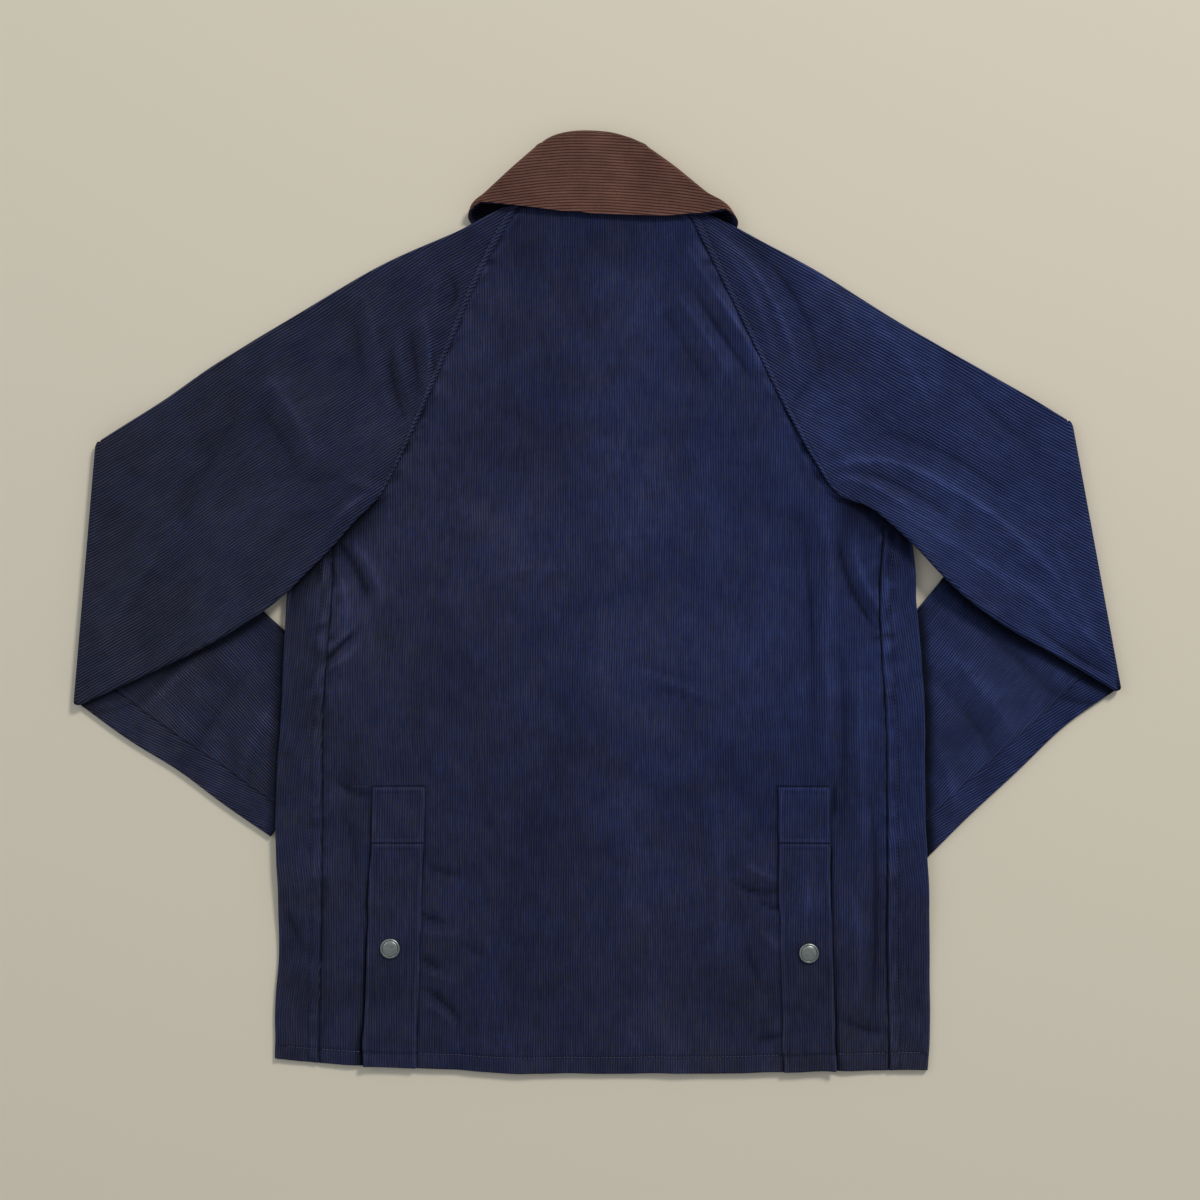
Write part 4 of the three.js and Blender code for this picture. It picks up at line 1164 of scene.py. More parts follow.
def build_front(side):
    """A front: its flat part below, the fold at the body's side and the stretch on top."""
    sign = SIGN[side]
    corner = CORNER[side]["y"]
    levels = hem_levels(corner - 2, 3.2)
    rows = len(levels)
    upper = list(np.arange(corner + 6, FRONT_TOP_Y - 3, 6)) + [FRONT_TOP_Y]
    levels = np.array(levels + [corner] + upper)
    bend = TUBE / 2
    wrapped = np.minimum(levels, corner)[:, None]
    level = levels[:, None]
    gap = np.where(level < UNDERARM_Y, 0, RAGLAN_GAP)
    outer_x = np.abs(front_outer(side, level)) - gap - np.where(level <= corner, bend, 0)
    flat = np.linspace(0, 1, 46)[None, :]
    edge = np.abs(body_edge(side, wrapped))
    turn = np.linspace(0, np.pi, 11)[None, 1:]
    steps = [d for d in EDGE_STEPS if d < 13]
    reach = edge - bend - np.abs(side_surface(side, 0 * wrapped, wrapped)[0])
    inland = np.concatenate(
        [mix(reach, steps[-1], s) for s in np.linspace(0, 1, 10)[1:-1]]
        + [np.full_like(reach, d) for d in reversed(steps)], 1
    )

    def face(depth):
        under_x = sign * mix(front_inner(side, level), outer_x, flat)
        under_y = level + hem_shift(under_x, level)
        under_z = body_floor(under_x, under_y) + depth
        round_x = sign * (edge - bend + (bend - depth) * np.sin(turn))
        round_y = wrapped + hem_shift(round_x, wrapped)
        round_z = body_floor(round_x, round_y) + bend - (bend - depth) * np.cos(turn)
        top_x, top_y, top_z = side_surface(side, inland, wrapped)
        points = [
            np.stack([under_x, under_y, under_z], 2),
            np.stack([round_x, round_y, round_z], 2),
            np.stack([top_x, top_y, top_z - depth], 2),
        ]
        return np.concatenate(points, 1)

    outer, inner = face(0), face(CLOTH)
    top_x, top_y, _ = side_surface(side, inland, wrapped)
    # The distance round the panel, from the zip out and back over the fold.
    across = np.concatenate(
        [sign * mix(front_inner(side, level), outer_x, flat),
         sign * (edge - bend + bend * turn),
         sign * (2 * edge - bend * (2 - np.pi)) - top_x], 1
    )
    grain = grain_map(across, level + 0 * across, 90.0)
    tone = np.ones(outer.shape[:2])
    tone[:, -inland.shape[1]:] = side_tone(side, inland, wrapped, top_x, top_y)
    tone *= hem_tone(level)
    keep = np.ones((len(levels) - 1, outer.shape[1] - 1), bool)
    keep[rows:, flat.shape[1] - 1:] = False
    return shell(f"front_{side}_cloth", outer, inner, grain, tone, keep=keep)


# ---------------------------------------------------------------- the sleeves
# Columns across one face of a sleeve, round each of its rounded edges, and the column after
# which a forearm's seam runs.
FACE = np.linspace(0.008, 0.992, 100)
TIP_COLUMNS = 9
SEAM_COLUMN = 26
# Rows down the upper sleeve, round the elbow's fold and down the forearm.
UPPER_AT = np.array(SEAM_STEPS + list(np.linspace(0.0615, 1, 86)))[:, None]
FOLD_TURNS = np.radians(np.linspace(0, 180, 13)[1:-1])[:, None]
FOREARM_AT = np.linspace(0, 1, 76)[:, None]
# How much cloth the fold takes up, and about how long the upper sleeve is.
FOLD_CLOTH = 9.0
UPPER_LENGTH = 300.0


def ring_columns():
    """Round a flattened tube: share across, turn of a rounded edge, and which are edges."""
    tips = np.radians(np.linspace(-90, 90, TIP_COLUMNS))
    near, far = np.zeros(TIP_COLUMNS), np.ones(TIP_COLUMNS)
    flat = np.full(len(FACE), np.pi / 2)
    share = np.concatenate([near, FACE, far, FACE[::-1]])
    turn = np.concatenate([tips[::-1], -flat, tips, flat])
    tip = np.concatenate([far, 0 * flat, far, 0 * flat]).astype(bool)
    return share, turn, tip


def seam_columns(share, seam, half):
    """Moves the columns of each row so that two of them lie just beside a seam."""
    before, after = FACE[SEAM_COLUMN], FACE[SEAM_COLUMN + 1]
    low = mix(FACE[0], seam - half, (share - FACE[0]) / (before - FACE[0]))
    high = mix(seam + half, FACE[-1], (share - after) / (FACE[-1] - after))
    moved = np.where(share <= before, low, high)
    return np.where((share == 0) | (share == 1), share, moved)


def section_point(low, high, share, inset):
    """A point between a sleeve's two edges, which its rounded edges keep off by an inset."""
    width = np.hypot(high[0] - low[0], high[1] - low[1])
    near, far = inset / width, 1 - inset / width
    t = np.where(share == 0, near, np.where(share == 1, far, share))
    return mix(low[0], high[0], t), mix(low[1], high[1], t), t


def tube_ring(thickness, depth, turn, tip):
    """A flattened tube's section at a depth in its cloth: inset at the edges, and height."""
    radius = thickness / 2
    inset = np.where(tip, radius - (radius - depth) * np.cos(turn), 0)
    height = radius + (radius - depth) * np.sin(turn)
    return inset, height


def uncovered(side, x, y):
    """How far a point of a forearm lies clear of the sleeve and the body over it: 0 to 1."""
    below = below_sleeve(side, x, y, np.linspace(0, 1, 40)) * 0.8
    beside = np.abs(x) - np.abs(body_edge(side, y))
    return ease(np.minimum(below, beside) / 13)


def upper_part(side, share, turn, tip):
    """The upper sleeve: its points at a depth in the cloth, and its tone."""
    sign, form, rows = SIGN[side], SLEEVE_FORM[side], UPPER_SLEEVE[side]
    low, high = edge_line(rows, "underarm", UPPER_AT), edge_line(rows, "shoulder", UPPER_AT)
    near_seam = 1 - ease(UPPER_AT / 0.3)

    def place(inset):
        x, y, t = section_point(low, high, share, inset)
        seam_x = read(RAGLAN, "y", side, mix(UNDERARM_Y, NECK_Y, t)) + sign * RAGLAN_GAP
        straight = mix(rows[0]["underarmX"], rows[0]["shoulderX"], t)
        rise = form["neckRise"] * (1 - ease(UPPER_AT / form["neckRun"])) * ease((t - 0.74) / 0.26)
        # At the seam the cloth only slides up along it.
        aside = mix(-0.28, 0.37, np.minimum(UPPER_AT / 0.05, 1))
        wave = ease(UPPER_AT / 0.1) * lattice_noise(UPPER_AT * 290, 3 * np.round(t), 31, 44)
        x = x + near_seam * (seam_x - straight) + sign * (aside * rise + 0.5 * wave)
        return x, y + 0.93 * rise + 0.86 * wave

    x0, y0 = place(0)
    body = ~tip
    top = body & (turn > 0)
    crown = mix(body * 1.3 * (1 - np.abs(2 * share - 1) ** 4), body * swell(x0, y0), near_seam)
    creased = body * relief(x0, y0) * ease(np.minimum(share, 1 - share) / 0.03)
    # The lower edge stands off the forearm in a soft roll.
    middle = np.sin(np.pi * np.clip((UPPER_AT - 0.05) / 0.95, 0, 1)) ** 0.7
    roll = form["roll"] * middle * dip(share, 0.06)
    hover = form["hover"] * middle * (1 - ease(share / 0.3))
    air = AIR * (1 - 0.85 * (1 - ease(UPPER_AT / 0.22)) * (1 - ease(share / 0.3)))
    thick = np.maximum(2 * CLOTH + air + crown + creased + roll, 2 * CLOTH + 0.4)
    # Beside the raglan seam: a felled ridge, its stitch line and the gathers along it.
    from_seam = UPPER_AT * UPPER_LENGTH
    seam_ridge = top * (
        0.8 * dip(from_seam - 3.2, 2.3)
        - 0.5 * dip(from_seam - 6.6, 0.9)
        - form["groove"] * rounded(from_seam, 1.0)
        + 0.4 * pucker(from_seam - 5, share * 270, 5)
    )

    def face(depth):
        inset, height = tube_ring(thick, depth, turn, tip)
        x, y = place(inset)
        z = sleeve_floor(side, x, y) + hover + height + seam_ridge
        return np.stack([x, y, z], 2)

    # Painted shade in the raglan groove and along the stitch line, a painted highlight on the
    # felled ridge, and painted light and shade along the sleeve, darker at the neck.
    tone = (1 - 0.35 * form["groove"] * dip(from_seam, 0.8)) * (1 - 0.3 * dip(from_seam - 6.6, 0.9))
    tone = tone * (1 + 0.3 * dip(from_seam - 3.0, 2.0)) * wear_and_crease_light(x0, y0)
    tone = tone * mix(form["neckTone"], form["armTone"], ease((sign * x0 - 95) / 110))
    return face, np.where(top, tone, 1)


def fold_part(side, share, turn, tip):
    """The elbow's fold: its points at a depth in the cloth, its tone, and where each point of
    it lies on the upper sleeve's cloth if that is laid flat."""
    row, form = FOREARM[side][0], SLEEVE_FORM[side]
    low, high = np.array([row["outerX"], row["outerY"]]), np.array([row["innerX"], row["innerY"]])
    run = (high - low) / np.hypot(*(high - low))
    outward = SIGN[side] * np.array([run[1], -run[0]])

    def face(depth):
        inset, height = tube_ring(TUBE, depth, turn, tip)
        x, y, _ = section_point(low, high, share, inset)
        arm = FOLD_CLEAR + height
        corner = np.sqrt(1 - np.clip((share - 0.965) / 0.035, 0, 1) ** 2)
        out = arm * np.sin(FOLD_TURNS) * corner
        z = FOLD_AXIS + arm * np.cos(FOLD_TURNS)
        return np.stack([x + outward[0] * out, y + outward[1] * out, z], 2)

    # The fold's lower corner is painted darker: painted shade in its opening.
    tone = form["armTone"] * (1 - form["tip"] * dip(share, 0.045)) * np.ones_like(FOLD_TURNS)
    arc = FOLD_TURNS / np.pi * FOLD_CLOTH
    x, y, _ = section_point(low, high, share, 0)
    return face, tone, (x + outward[0] * arc, y + outward[1] * arc)


def forearm_part(side, share, turn, tip):
    """The forearm: its points at a depth in the cloth, its tone, and how far each column is
    past the under sleeve's seam."""
    form, seam = SLEEVE_FORM[side], FOREARM_SEAM[side]
    low = edge_line(FOREARM[side], "outer", FOREARM_AT)
    high = edge_line(FOREARM[side], "inner", FOREARM_AT)
    width = np.hypot(high[0] - low[0], high[1] - low[1])
    dx, dy = seam["x2"] - seam["x1"], seam["y2"] - seam["y1"]
    from_line = lambda x, y: (
        SIGN[side] * ((x - seam["x1"]) * dy - (y - seam["y1"]) * dx) / math.hypot(dx, dy)
    )
    # The seam crosses each row at its own share.
    off_low, off_high = from_line(*low), from_line(*high)
    drift = 0.9 * lattice_noise(FOREARM_AT * 200, 0 * FOREARM_AT, 23, 45)
    crossing = np.clip(-off_low / (off_high - off_low) + drift / width, 0.05, 0.9)
    share = seam_columns(share, crossing, 0.2 / width)
    off_seam = (share - crossing) * (off_high - off_low)
    shows = ~tip & (turn < 0)

    def form_height(x, y):
        clear = uncovered(side, x, y)
        height = relief(x, y, FOREARM_CREASES) - 0.3 + 0.4 * dip(off_seam - 2.4, 1.6)
        height = np.where(height > 0, height * clear, height)
        height = height + 1.4 * clear * (1 - np.abs(2 * share - 1) ** 3)
        height = height - 0.8 * dip(off_seam, 1.1)
        return np.maximum(height * ease(np.minimum(share, 1 - share) / 0.05), -1.3)

    def face(depth):
        inset, height = tube_ring(TUBE, depth, turn, tip)
        x, y, _ = section_point(low, high, share, inset)
        return np.stack([x, y, TUBE - height + np.where(shows, form_height(x, y), 0)], 2)

    x, y = face(0.0)[..., 0], face(0.0)[..., 1]
    # Painted shade in the seam's groove, painted highlights beside it, and a painted shadow where
    # the sleeve and the body cover the forearm.
    tone = 1 - seam["dark"] * dip(off_seam, 0.9) + 0.2 * dip(off_seam - 1.9, 1.0)
    tone = tone * (1 + 0.1 * dip(off_seam + 2.2, 1.2)) * wear_and_crease_light(x, y, FOREARM_CREASES)
    clear = uncovered(side, x, y) + 0.14 * lattice_noise(x, y, 15, 46)
    tone = tone * mix(form["shade"], 1.0, ease(clear)) * (1 + 0.16 * lattice_noise(x, y, 19, 47))
    return face, tone * form["forearmTone"], off_seam


def sleeve_grids(side):
    """The sleeve's outer and inner points, its grain and its tone."""
    ring = [column[None, :] for column in ring_columns()]
    share, form, seam = ring[0], SLEEVE_FORM[side], FOREARM_SEAM[side]
    upper_face, upper_tone = upper_part(side, *ring)
    fold_face, fold_tone, fold_flat = fold_part(side, *ring)
    forearm_face, forearm_tone, off_seam = forearm_part(side, *ring)
    outer, inner = (
        np.concatenate([upper_face(depth), fold_face(depth), forearm_face(depth)])
        for depth in (0.0, CLOTH)
    )
    # Each sleeve is painted lighter as a whole, the right one most: painted light.
    tone = np.concatenate([upper_tone, fold_tone, forearm_tone]) * form["light"]
    # The grain runs round the elbow fold, and turns at the under sleeve's seam.
    split, bent = len(UPPER_AT), len(UPPER_AT) + len(FOLD_TURNS)
    flat_x, flat_y = outer[..., 0].copy(), outer[..., 1].copy()
    flat_x[split:bent], flat_y[split:bent] = fold_flat
    grain = grain_map(flat_x, flat_y, WALE_TURN[side])
    # Wales lie closer together at the lower edge than at the shoulder.
    near, far = form["pitch"]
    spread = np.log(1 + (far / near - 1) * share) / (far - near)
    width = grain[:bent, TIP_COLUMNS + len(FACE), 0] - grain[:bent, 0, 0]
    grain[:bent, :, 0] += (spread - share) * width[:, None]
    main, strip = (grain_map(flat_x[bent:], flat_y[bent:], seam[k]) for k in ("main", "strip"))
    grain[bent:] = np.where((off_seam > 0)[..., None], main, strip)
    return outer, inner, grain, tone


def build_sleeve(side):
    """A sleeve, from its raglan seam round the fold at the elbow to its cuff."""
    return shell(f"sleeve_{side}_cloth", *sleeve_grids(side), around=True)


# ---------------------------------------------------------------- the collar
# Columns across the collar's back, and rows of its fall.
BACK_COLUMNS = 74
FALL_COUNT = 34


def collar_shape(offset):
    """One face of a ply of the collar, at its distance from the middle of the cloth."""
    rows = [(FALL_ROWS, at, 90.0) for at in np.linspace(1, 0, FALL_COUNT)]
    rows += [(FALL_ROWS, 0.0, turn) for turn in np.linspace(90, -90, 12)[1:-1]]
    rows += [(STAND_ROWS, at, -90.0) for at in np.linspace(0, 1, 14)]
    turns = np.linspace(0, 1, 13)[1:-1]
    back = np.linspace(0, 1, BACK_COLUMNS)
    face = []
    for table_rows, at, turn in rows:
        on_fall = table_rows is FALL_ROWS
        bend = math.radians(turn)
        spread = STAND + ROLL + (ROLL + offset) * math.sin(bend)
        up = (ROLL + offset) * math.cos(bend)
        value = lambda column: float(read(table_rows, "at", column, at))
        fall = max(math.sin(bend), 0.0)
        # The fall stands off the back, most of all where it turns over the shoulders.
        drawn = fall * (1.5 + 3.5 * at) if on_fall else 0.0

        def front(side):
            x, y = collar_line(table_rows, side, at)
            return np.stack([
                x - SIGN[side] * up * math.cos(FRONT_ROLL),
                y + up * math.sin(FRONT_ROLL),
                np.full_like(x, COLLAR_MIDDLE - spread),
            ], 1)

        def over(side):
            ax, ay = collar_turn(table_rows, side, at)
            bx, by = value(side + "X"), value(side + "Y")
            angle = np.pi * turns
            lean = np.pi / 2 * turns + FRONT_ROLL * (1 - turns)
            wide = spread + 0.45 * drawn
            x = mix(ax, bx, turns) + SIGN[side] * (wide * np.sin(angle) - up * np.cos(lean))
            y = mix(ay, by, turns) + up * np.sin(lean)
            high = COLLAR_MIDDLE - spread * np.cos(angle) + drawn * ease(turns)
            return np.stack([x, y, high], 1)

        middle = value("middleY") - (value("leftY") + value("rightY")) / 2
        skew = mix(0.86, 1.4, at) if on_fall else 0.86
        arch = (1 - np.abs(2 * back**skew - 1) ** mix(2.3, 2.0, at)) * middle
        wave = fall * mix(0.5, 0.7, at) * lattice_noise(40 * back, 6 * at + 0 * back, 2.6, 12)
        x = mix(value("leftX"), value("rightX"), back)
        y = mix(value("leftY"), value("rightY"), back) + arch + up + wave
        high = COLLAR_MIDDLE + spread + drawn * mix(0.15, 1.0, np.abs(2 * back - 1) ** 3)
        high = high + fall * 0.35 * lattice_noise(x, y * 0.5, 26, 11)
        face.append(np.concatenate([
            front("left")[::-1],
            over("left"),
            np.stack([x, y, high], 1),
            over("right")[::-1],
            front("right"),
        ]))
    return np.array(face)


def build_collar(name, offsets, past_edge, tones, mottle):
    """A ply of the collar: its faces' offsets, how far its free edge reaches past the other
    ply's, and its tones at that edge, in the next row and beyond."""
    outer, inner = (collar_shape(offset) for offset in offsets)
    # The last rows turn in, so that the free edge is soft.
    columns = outer.shape[1]
    start = (columns - BACK_COLUMNS) / 2
    back = np.clip((np.arange(columns) - start) / (BACK_COLUMNS - 1), 0, 1)
    ends = 0.85 * ease((back - 0.7) / 0.3) + 0.45 * ease((0.2 - back) / 0.2)
    reach = past_edge * (0.15 + ends)
    for grid in (outer, inner):
        step = grid[0] - grid[1]
        grid[0] += step / np.linalg.norm(step, axis=1, keepdims=True) * reach[:, None]
    outer[0] = mix(outer[0], inner[0], 0.3)
    inner[0] = mix(inner[0], outer[0], 0.3)
    # Wales run along the collar and bow down towards its ends.
    x, y = outer[..., 0], outer[..., 1]
    over_fold = np.clip(np.arange(len(outer))[:, None] - (FALL_COUNT - 1), 0, 10) * 0.45
    bow = COLLAR_WALE_BEND * np.where(x < -14, 1.0, 0.62) * (x + 14) ** 2
    grain = np.stack([y + bow + over_fold, x], 2)
    tone = np.full(outer.shape[:2], tones[2])
    tone[0], tone[1] = tones[:2]
    tone *= 1 + mottle * lattice_noise(x, y * 0.6, 20, 14)
    return shell(name, outer, inner, grain, tone)


# ---------------------------------------------------------------- what is sewn on
# How far the columns lie inside the edges of a strip or tab, and the rows inside its ends. The
# left tab lies in a little more shade.
PATCH_EDGE = [0, 0.4, 0.9, 1.6, 2.6, 3.8, 4.8, 5.6]
PATCH_END = [0, 0.5, 1.2, 2.2, 3.6, 4.9, 6.2]
TAB_TONE = {"left": 1.06, "right": 1.16}


def patch_surface(side, x, level, tab):
    """The upper face of a strip or tab: the back panel's own points, moved up."""
    low, high = vent_sides(side, level)
    y, z = back_surface(x, level)
    # A strip's free edge lifts off the panel, but for the end that its tab holds down.
    free = high - x if VENTS[side]["free"] else x - low
    loose = 0.0 if tab else ease((TAB_BOTTOM - level) / 60)
    return y, z + CLOTH + 1.7 * loose * dip(free, 7)


def patch_levels(tab):
    """The rows of a tab, or of a strip from the hem up to it."""
    top = TAB_TOP if tab else TAB_BOTTOM - SEAM
    upper = [top - step for step in reversed(PATCH_END)]
    if not tab:
        return np.array(hem_levels(top - 8, 4) + upper)
    lower = [TAB_BOTTOM + step for step in PATCH_END]
    return np.array(lower + list(np.linspace(lower[-1], upper[0], 9)[1:-1]) + upper)


def build_patch(side, tab):
    """A strip or tab on a vent, with soft edges."""
    levels = patch_levels(tab)
    low, high = vent_sides(side, levels)
    wide = PATCH_EDGE[-1]
    middle = [mix(low + wide, high - wide, s) for s in np.linspace(0, 1, 15)[1:-1]]
    edges = [low + s for s in PATCH_EDGE], [high - s for s in reversed(PATCH_EDGE)]
    x = np.stack(edges[0] + middle + edges[1], 1)
    level = np.repeat(levels[:, None], x.shape[1], 1)
    y, z = patch_surface(side, x, level, tab)
    from_end = levels[-1] - level
    if tab:
        from_end = np.minimum(level - levels[0], from_end)
    near = np.minimum(np.minimum(x - low[:, None], high[:, None] - x), from_end)
    top = z + 0.3 * dip(near - 2.4, 1.8) - 0.3 * dip(near - 4.9, 0.8) - rounded(near, 1.3)
    outer, inner = np.stack([x, y, top], 2), np.stack([x, y, z - CLOTH], 2)
    # Painted shade at the edges and along the stitch line, and a painted highlight on the rounded
    # edge.
    tone = wear_and_crease_light(x, y) * (1 - 0.4 * dip(near, 0.4)) * (1 + 0.25 * dip(near - 1.5, 1.3))
    tone = tone * body_shade(x, y) * (1 - 0.14 * dip(near - 4.9, 0.7))
    tone = tone * (TAB_TONE[side] if tab else hem_tone(level))
    name = f"vent_{'tab' if tab else 'strip'}_{side}_cloth"
    return shell(name, outer, inner, grain_map(x + 0.7, y, 90.0), tone)


# A snap's cap from the middle of its underside round its rim to the middle of its dome.
STUD_PROFILE = [
    (0.0, 0.0), (7.6, 0.0), (8.3, 0.25), (8.5, 0.7), (8.42, 1.15), (8.1, 1.5), (7.7, 1.7),
    (7.35, 1.78), (7.1, 1.74), (6.95, 1.56), (6.75, 1.48), (6.5, 1.52), (6.3, 1.72),
    (6.0, 1.9), (5.2, 2.12), (4.0, 2.34), (2.6, 2.52), (1.2, 2.6), (0.0, 2.62),
]
STUD_RADIUS = 8.5
STUD_SEGMENTS = 48
# The dark ring between the rim and the dome: how far out, and how low.
STUD_RING = (6.4, 7.05, 1.6)


def build_stud(side):
    """A snap's cap: a rolled rim, a plain sunk ring and a low dome."""
    cx, cy = STUDS[side]
    count = STUD_SEGMENTS
    angles = np.linspace(0, 2 * np.pi, count + 1)[:-1]
    rim = back_top(cx + STUD_RADIUS * np.cos(angles), cy + STUD_RADIUS * np.sin(angles))
    seat = float(rim.max()) + CLOTH + 0.5
    near, far, low = STUD_RING
    points, tone = [(cx, cy, seat)], [1.0]
    rings = STUD_PROFILE[1:-1]
    for k, (out, up) in enumerate(rings, 1):
        for a in angles:
            # Slight dents keep the rim and the dome from looking turned.
            dent = 0.04 * math.sin(3 * a + k) if up > 1.7 else 0.0
            points.append((cx + out * math.cos(a), cy + out * math.sin(a), seat + up + dent))
            tone.append(0.45 if near < out < far and up < low else 1.0)
    points.append((cx, cy, seat + STUD_PROFILE[-1][1]))
    tone.append(1.05)
    top, base = len(points) - 1, 1 + (len(rings) - 1) * count
    faces = [(0, 1 + (j + 1) % count, 1 + j) for j in range(count)]
    for start in range(1, base, count):
        for j in range(count):
            a, b = start + j, start + (j + 1) % count
            faces.append((a, b, b + count, a + count))
    faces += [(base + j, base + (j + 1) % count, top) for j in range(count)]
    return make_mesh(f"stud_{side}_cap", np.array(points), faces, None, np.array(tone), 35)


# ---------------------------------------------------------------- stitching
# A stitch: how long it is, and how far it stands over the cloth and sinks into it.
STITCH_LENGTH = 2.9
STITCH_HEIGHT = 0.3
STITCH_SUNK = 0.25
# How far the vents' stitch lines lie inside a strip's sewn edge and inside a tab's edges.
STRIP_STITCH = 1.9
TAB_STITCH = 2.4


def stitches(name, lines, gap=0.6, width=0.42):
    """Lock stitches along lines of pattern points: each is a short low bead of thread."""
    points, faces = [], []
    sunk = np.array([0, 0, STITCH_SUNK])
    # The sections of a bead: how far along it, how high and how wide.
    along = np.array([0, 0.25, 0.75, 1])
    sections = list(zip([0, STITCH_HEIGHT, STITCH_HEIGHT, 0], [0.4, 1, 1, 0.4]))
    for line in lines:
        steps = np.linalg.norm(np.diff(line, axis=0), axis=1)
        run = np.concatenate([[0], np.cumsum(steps)])
        for k in range(int(run[-1] // (STITCH_LENGTH + gap))):
            where = k * (STITCH_LENGTH + gap) + gap / 2 + STITCH_LENGTH * along
            middle = np.stack([np.interp(where, run, line[:, axis]) for axis in range(3)], 1)
            ahead = middle[-1] - middle[0]
            across = np.array([-ahead[1], ahead[0], 0])
            across = across / max(np.linalg.norm(across), 1e-6) * width / 2
            base = len(points)
            for p, (up, slim) in zip(middle, sections):
                points += [p - across * slim - sunk, p + (0, 0, up), p + across * slim - sunk]
            for a in (base, base + 3, base + 6):
                faces += [(a, a + 3, a + 4, a + 1), (a + 1, a + 4, a + 5, a + 2)]
                faces.append((a + 2, a + 5, a + 3, a))
            faces += [(base, base + 1, base + 2), (base + 9, base + 11, base + 10)]
    piece = make_mesh(name, np.array(points), faces, None, None, 180)
    piece.data.materials.append(navy_thread())
    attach(piece, "root")


def line_on_back(x, level):
    """Points of a stitch line on the back panel."""
    x, level = np.broadcast_arrays(np.asarray(x, float), np.asarray(level, float))
    return np.stack([x, *back_surface(x, level)], 1)


def line_on_patch(side, x, level, tab):
    """Points of a stitch line on a strip or tab."""
    x, level = np.broadcast_arrays(np.asarray(x, float), np.asarray(level, float))
    y, z = patch_surface(side, x, level, tab)
    return np.stack([x, y, z - 0.3], 1)


def line_beside_seam(side, inland, level):
    """Points of a stitch line on the stretch of a front beside its side seam."""
    return np.stack(side_surface(side, *np.broadcast_arrays(inland, level)), 1)


def hem_lines():
    """The hem's stitch line, in stretches: the strips, the back between them, the fronts."""
    level = HEM_Y + HEM_STITCH
    lines, stops = [], [float(back_edge("left", np.array(level))) + 2]
    for side in VENTS:
        low, high = (float(v) for v in vent_sides(side, np.array(level)))
        lines.append(line_on_patch(side, np.linspace(low + 1, high - 1, 20), level, False))
        stops += [low - 2.5, high + 2.5]
    stops.append(float(back_edge("right", np.array(level))) - 2)
    for start, end in zip(stops[::2], stops[1::2]):
        lines.append(line_on_back(np.linspace(start, end, 90), level))
    return lines + [line_beside_seam(side, np.linspace(1, 30, 30), level) for side in SIGN]


def vent_lines():
    """Each strip's sewn edge, the square on its tab, and the left tab's row on the back."""
    lines = []
    for side in VENTS:
        levels = np.linspace(HEM_Y + 20, TAB_BOTTOM - 6, 60)
        low, high = vent_sides(side, levels)
        sewn = low + STRIP_STITCH if VENTS[side]["free"] else high - STRIP_STITCH
        lines.append(line_on_patch(side, sewn, levels, False))
        left, right = (float(v) for v in vent_sides(side, np.array(TAB_MIDDLE)))
        low, high = left + TAB_STITCH, right - TAB_STITCH
        bottom, top = TAB_BOTTOM + TAB_STITCH, TAB_TOP - TAB_STITCH
        t, corners = np.linspace(0, 4, 90), range(5)
        box_x = np.interp(t, corners, [low, high, high, low, low])
        box_y = np.interp(t, corners, [top, top, bottom, bottom, top])
        lines.append(line_on_patch(side, box_x, box_y, True))
        if side == "left":
            lines.append(line_on_back(np.linspace(left - 16, left - 1, 8), TAB_TOP + 0.5))
    return lines


def seam_lines():
    """The stitch lines beside the side seams and the raglan seams."""
    lines = []
    _, turn, tip = ring_columns()
    shown = ~tip & (turn > 0)
    for side in SIGN:
        levels = np.linspace(HEM_Y + 18, CORNER[side]["y"] - 14, 140)
        lines.append(line_beside_seam(side, SIDE_STITCH, levels))
        # It stays clear of the underarm and of the collar.
        lines.append(sleeve_grids(side)[0][SEAM_STITCH_ROW][shown][3:-21])
    return lines


# ---------------------------------------------------------------- settings
def length(name, text, default, low, high):
    """A length that a user can set, in metres."""
    return FloatProperty(name=name, description=text, default=default, min=low, max=high,
                         unit="LENGTH", precision=5)


def colour(name, text, default):
    """A colour that a user can set, in linear values."""
    return FloatVectorProperty(name=name, description=text, default=default, size=3, min=0.0,
                               max=1.0, subtype="COLOR")


class JacketCloth(PropertyGroup):
    # The groove colours are partly the cloth's own and partly painted shade between the wales. The
    # rubbed navy also carries the painted greyer light towards the left sleeve.
    navy: colour("Navy pile", "Colour of the tops of the wales", (0.020, 0.031, 0.102))
    navy_worn: colour("Rubbed navy", "Colour where the pile is rubbed", (0.032, 0.032, 0.053))
    navy_groove: colour("Navy groove", "Colour between the wales", (0.004, 0.006, 0.017))
    brown: colour("Brown pile", "Colour of the tops of the collar's wales", (0.128, 0.058, 0.046))
    brown_worn: colour("Rubbed brown", "Colour where it is rubbed", (0.138, 0.074, 0.056))
    brown_groove: colour("Brown groove", "Colour between them", (0.046, 0.019, 0.015))
    thread: colour("Thread", "Colour of the sewing thread", (0.110, 0.125, 0.215))
    wale: length("Wale pitch", "From one wale to the next", 0.0021, 0.001, 0.006)
    collar_wale: length("Collar wale pitch", "The same on the collar", 0.00248, 0.001, 0.006)
    wale_depth: length("Wale depth", "Height of a wale over its groove", 0.0013, 0.0, 0.002)


class JacketTrim(PropertyGroup):
    metal: colour("Stud metal", "Colour of the studs", (0.27, 0.30, 0.285))
    tape: colour("Zip tape", "Colour of the zip", (0.012, 0.014, 0.026))


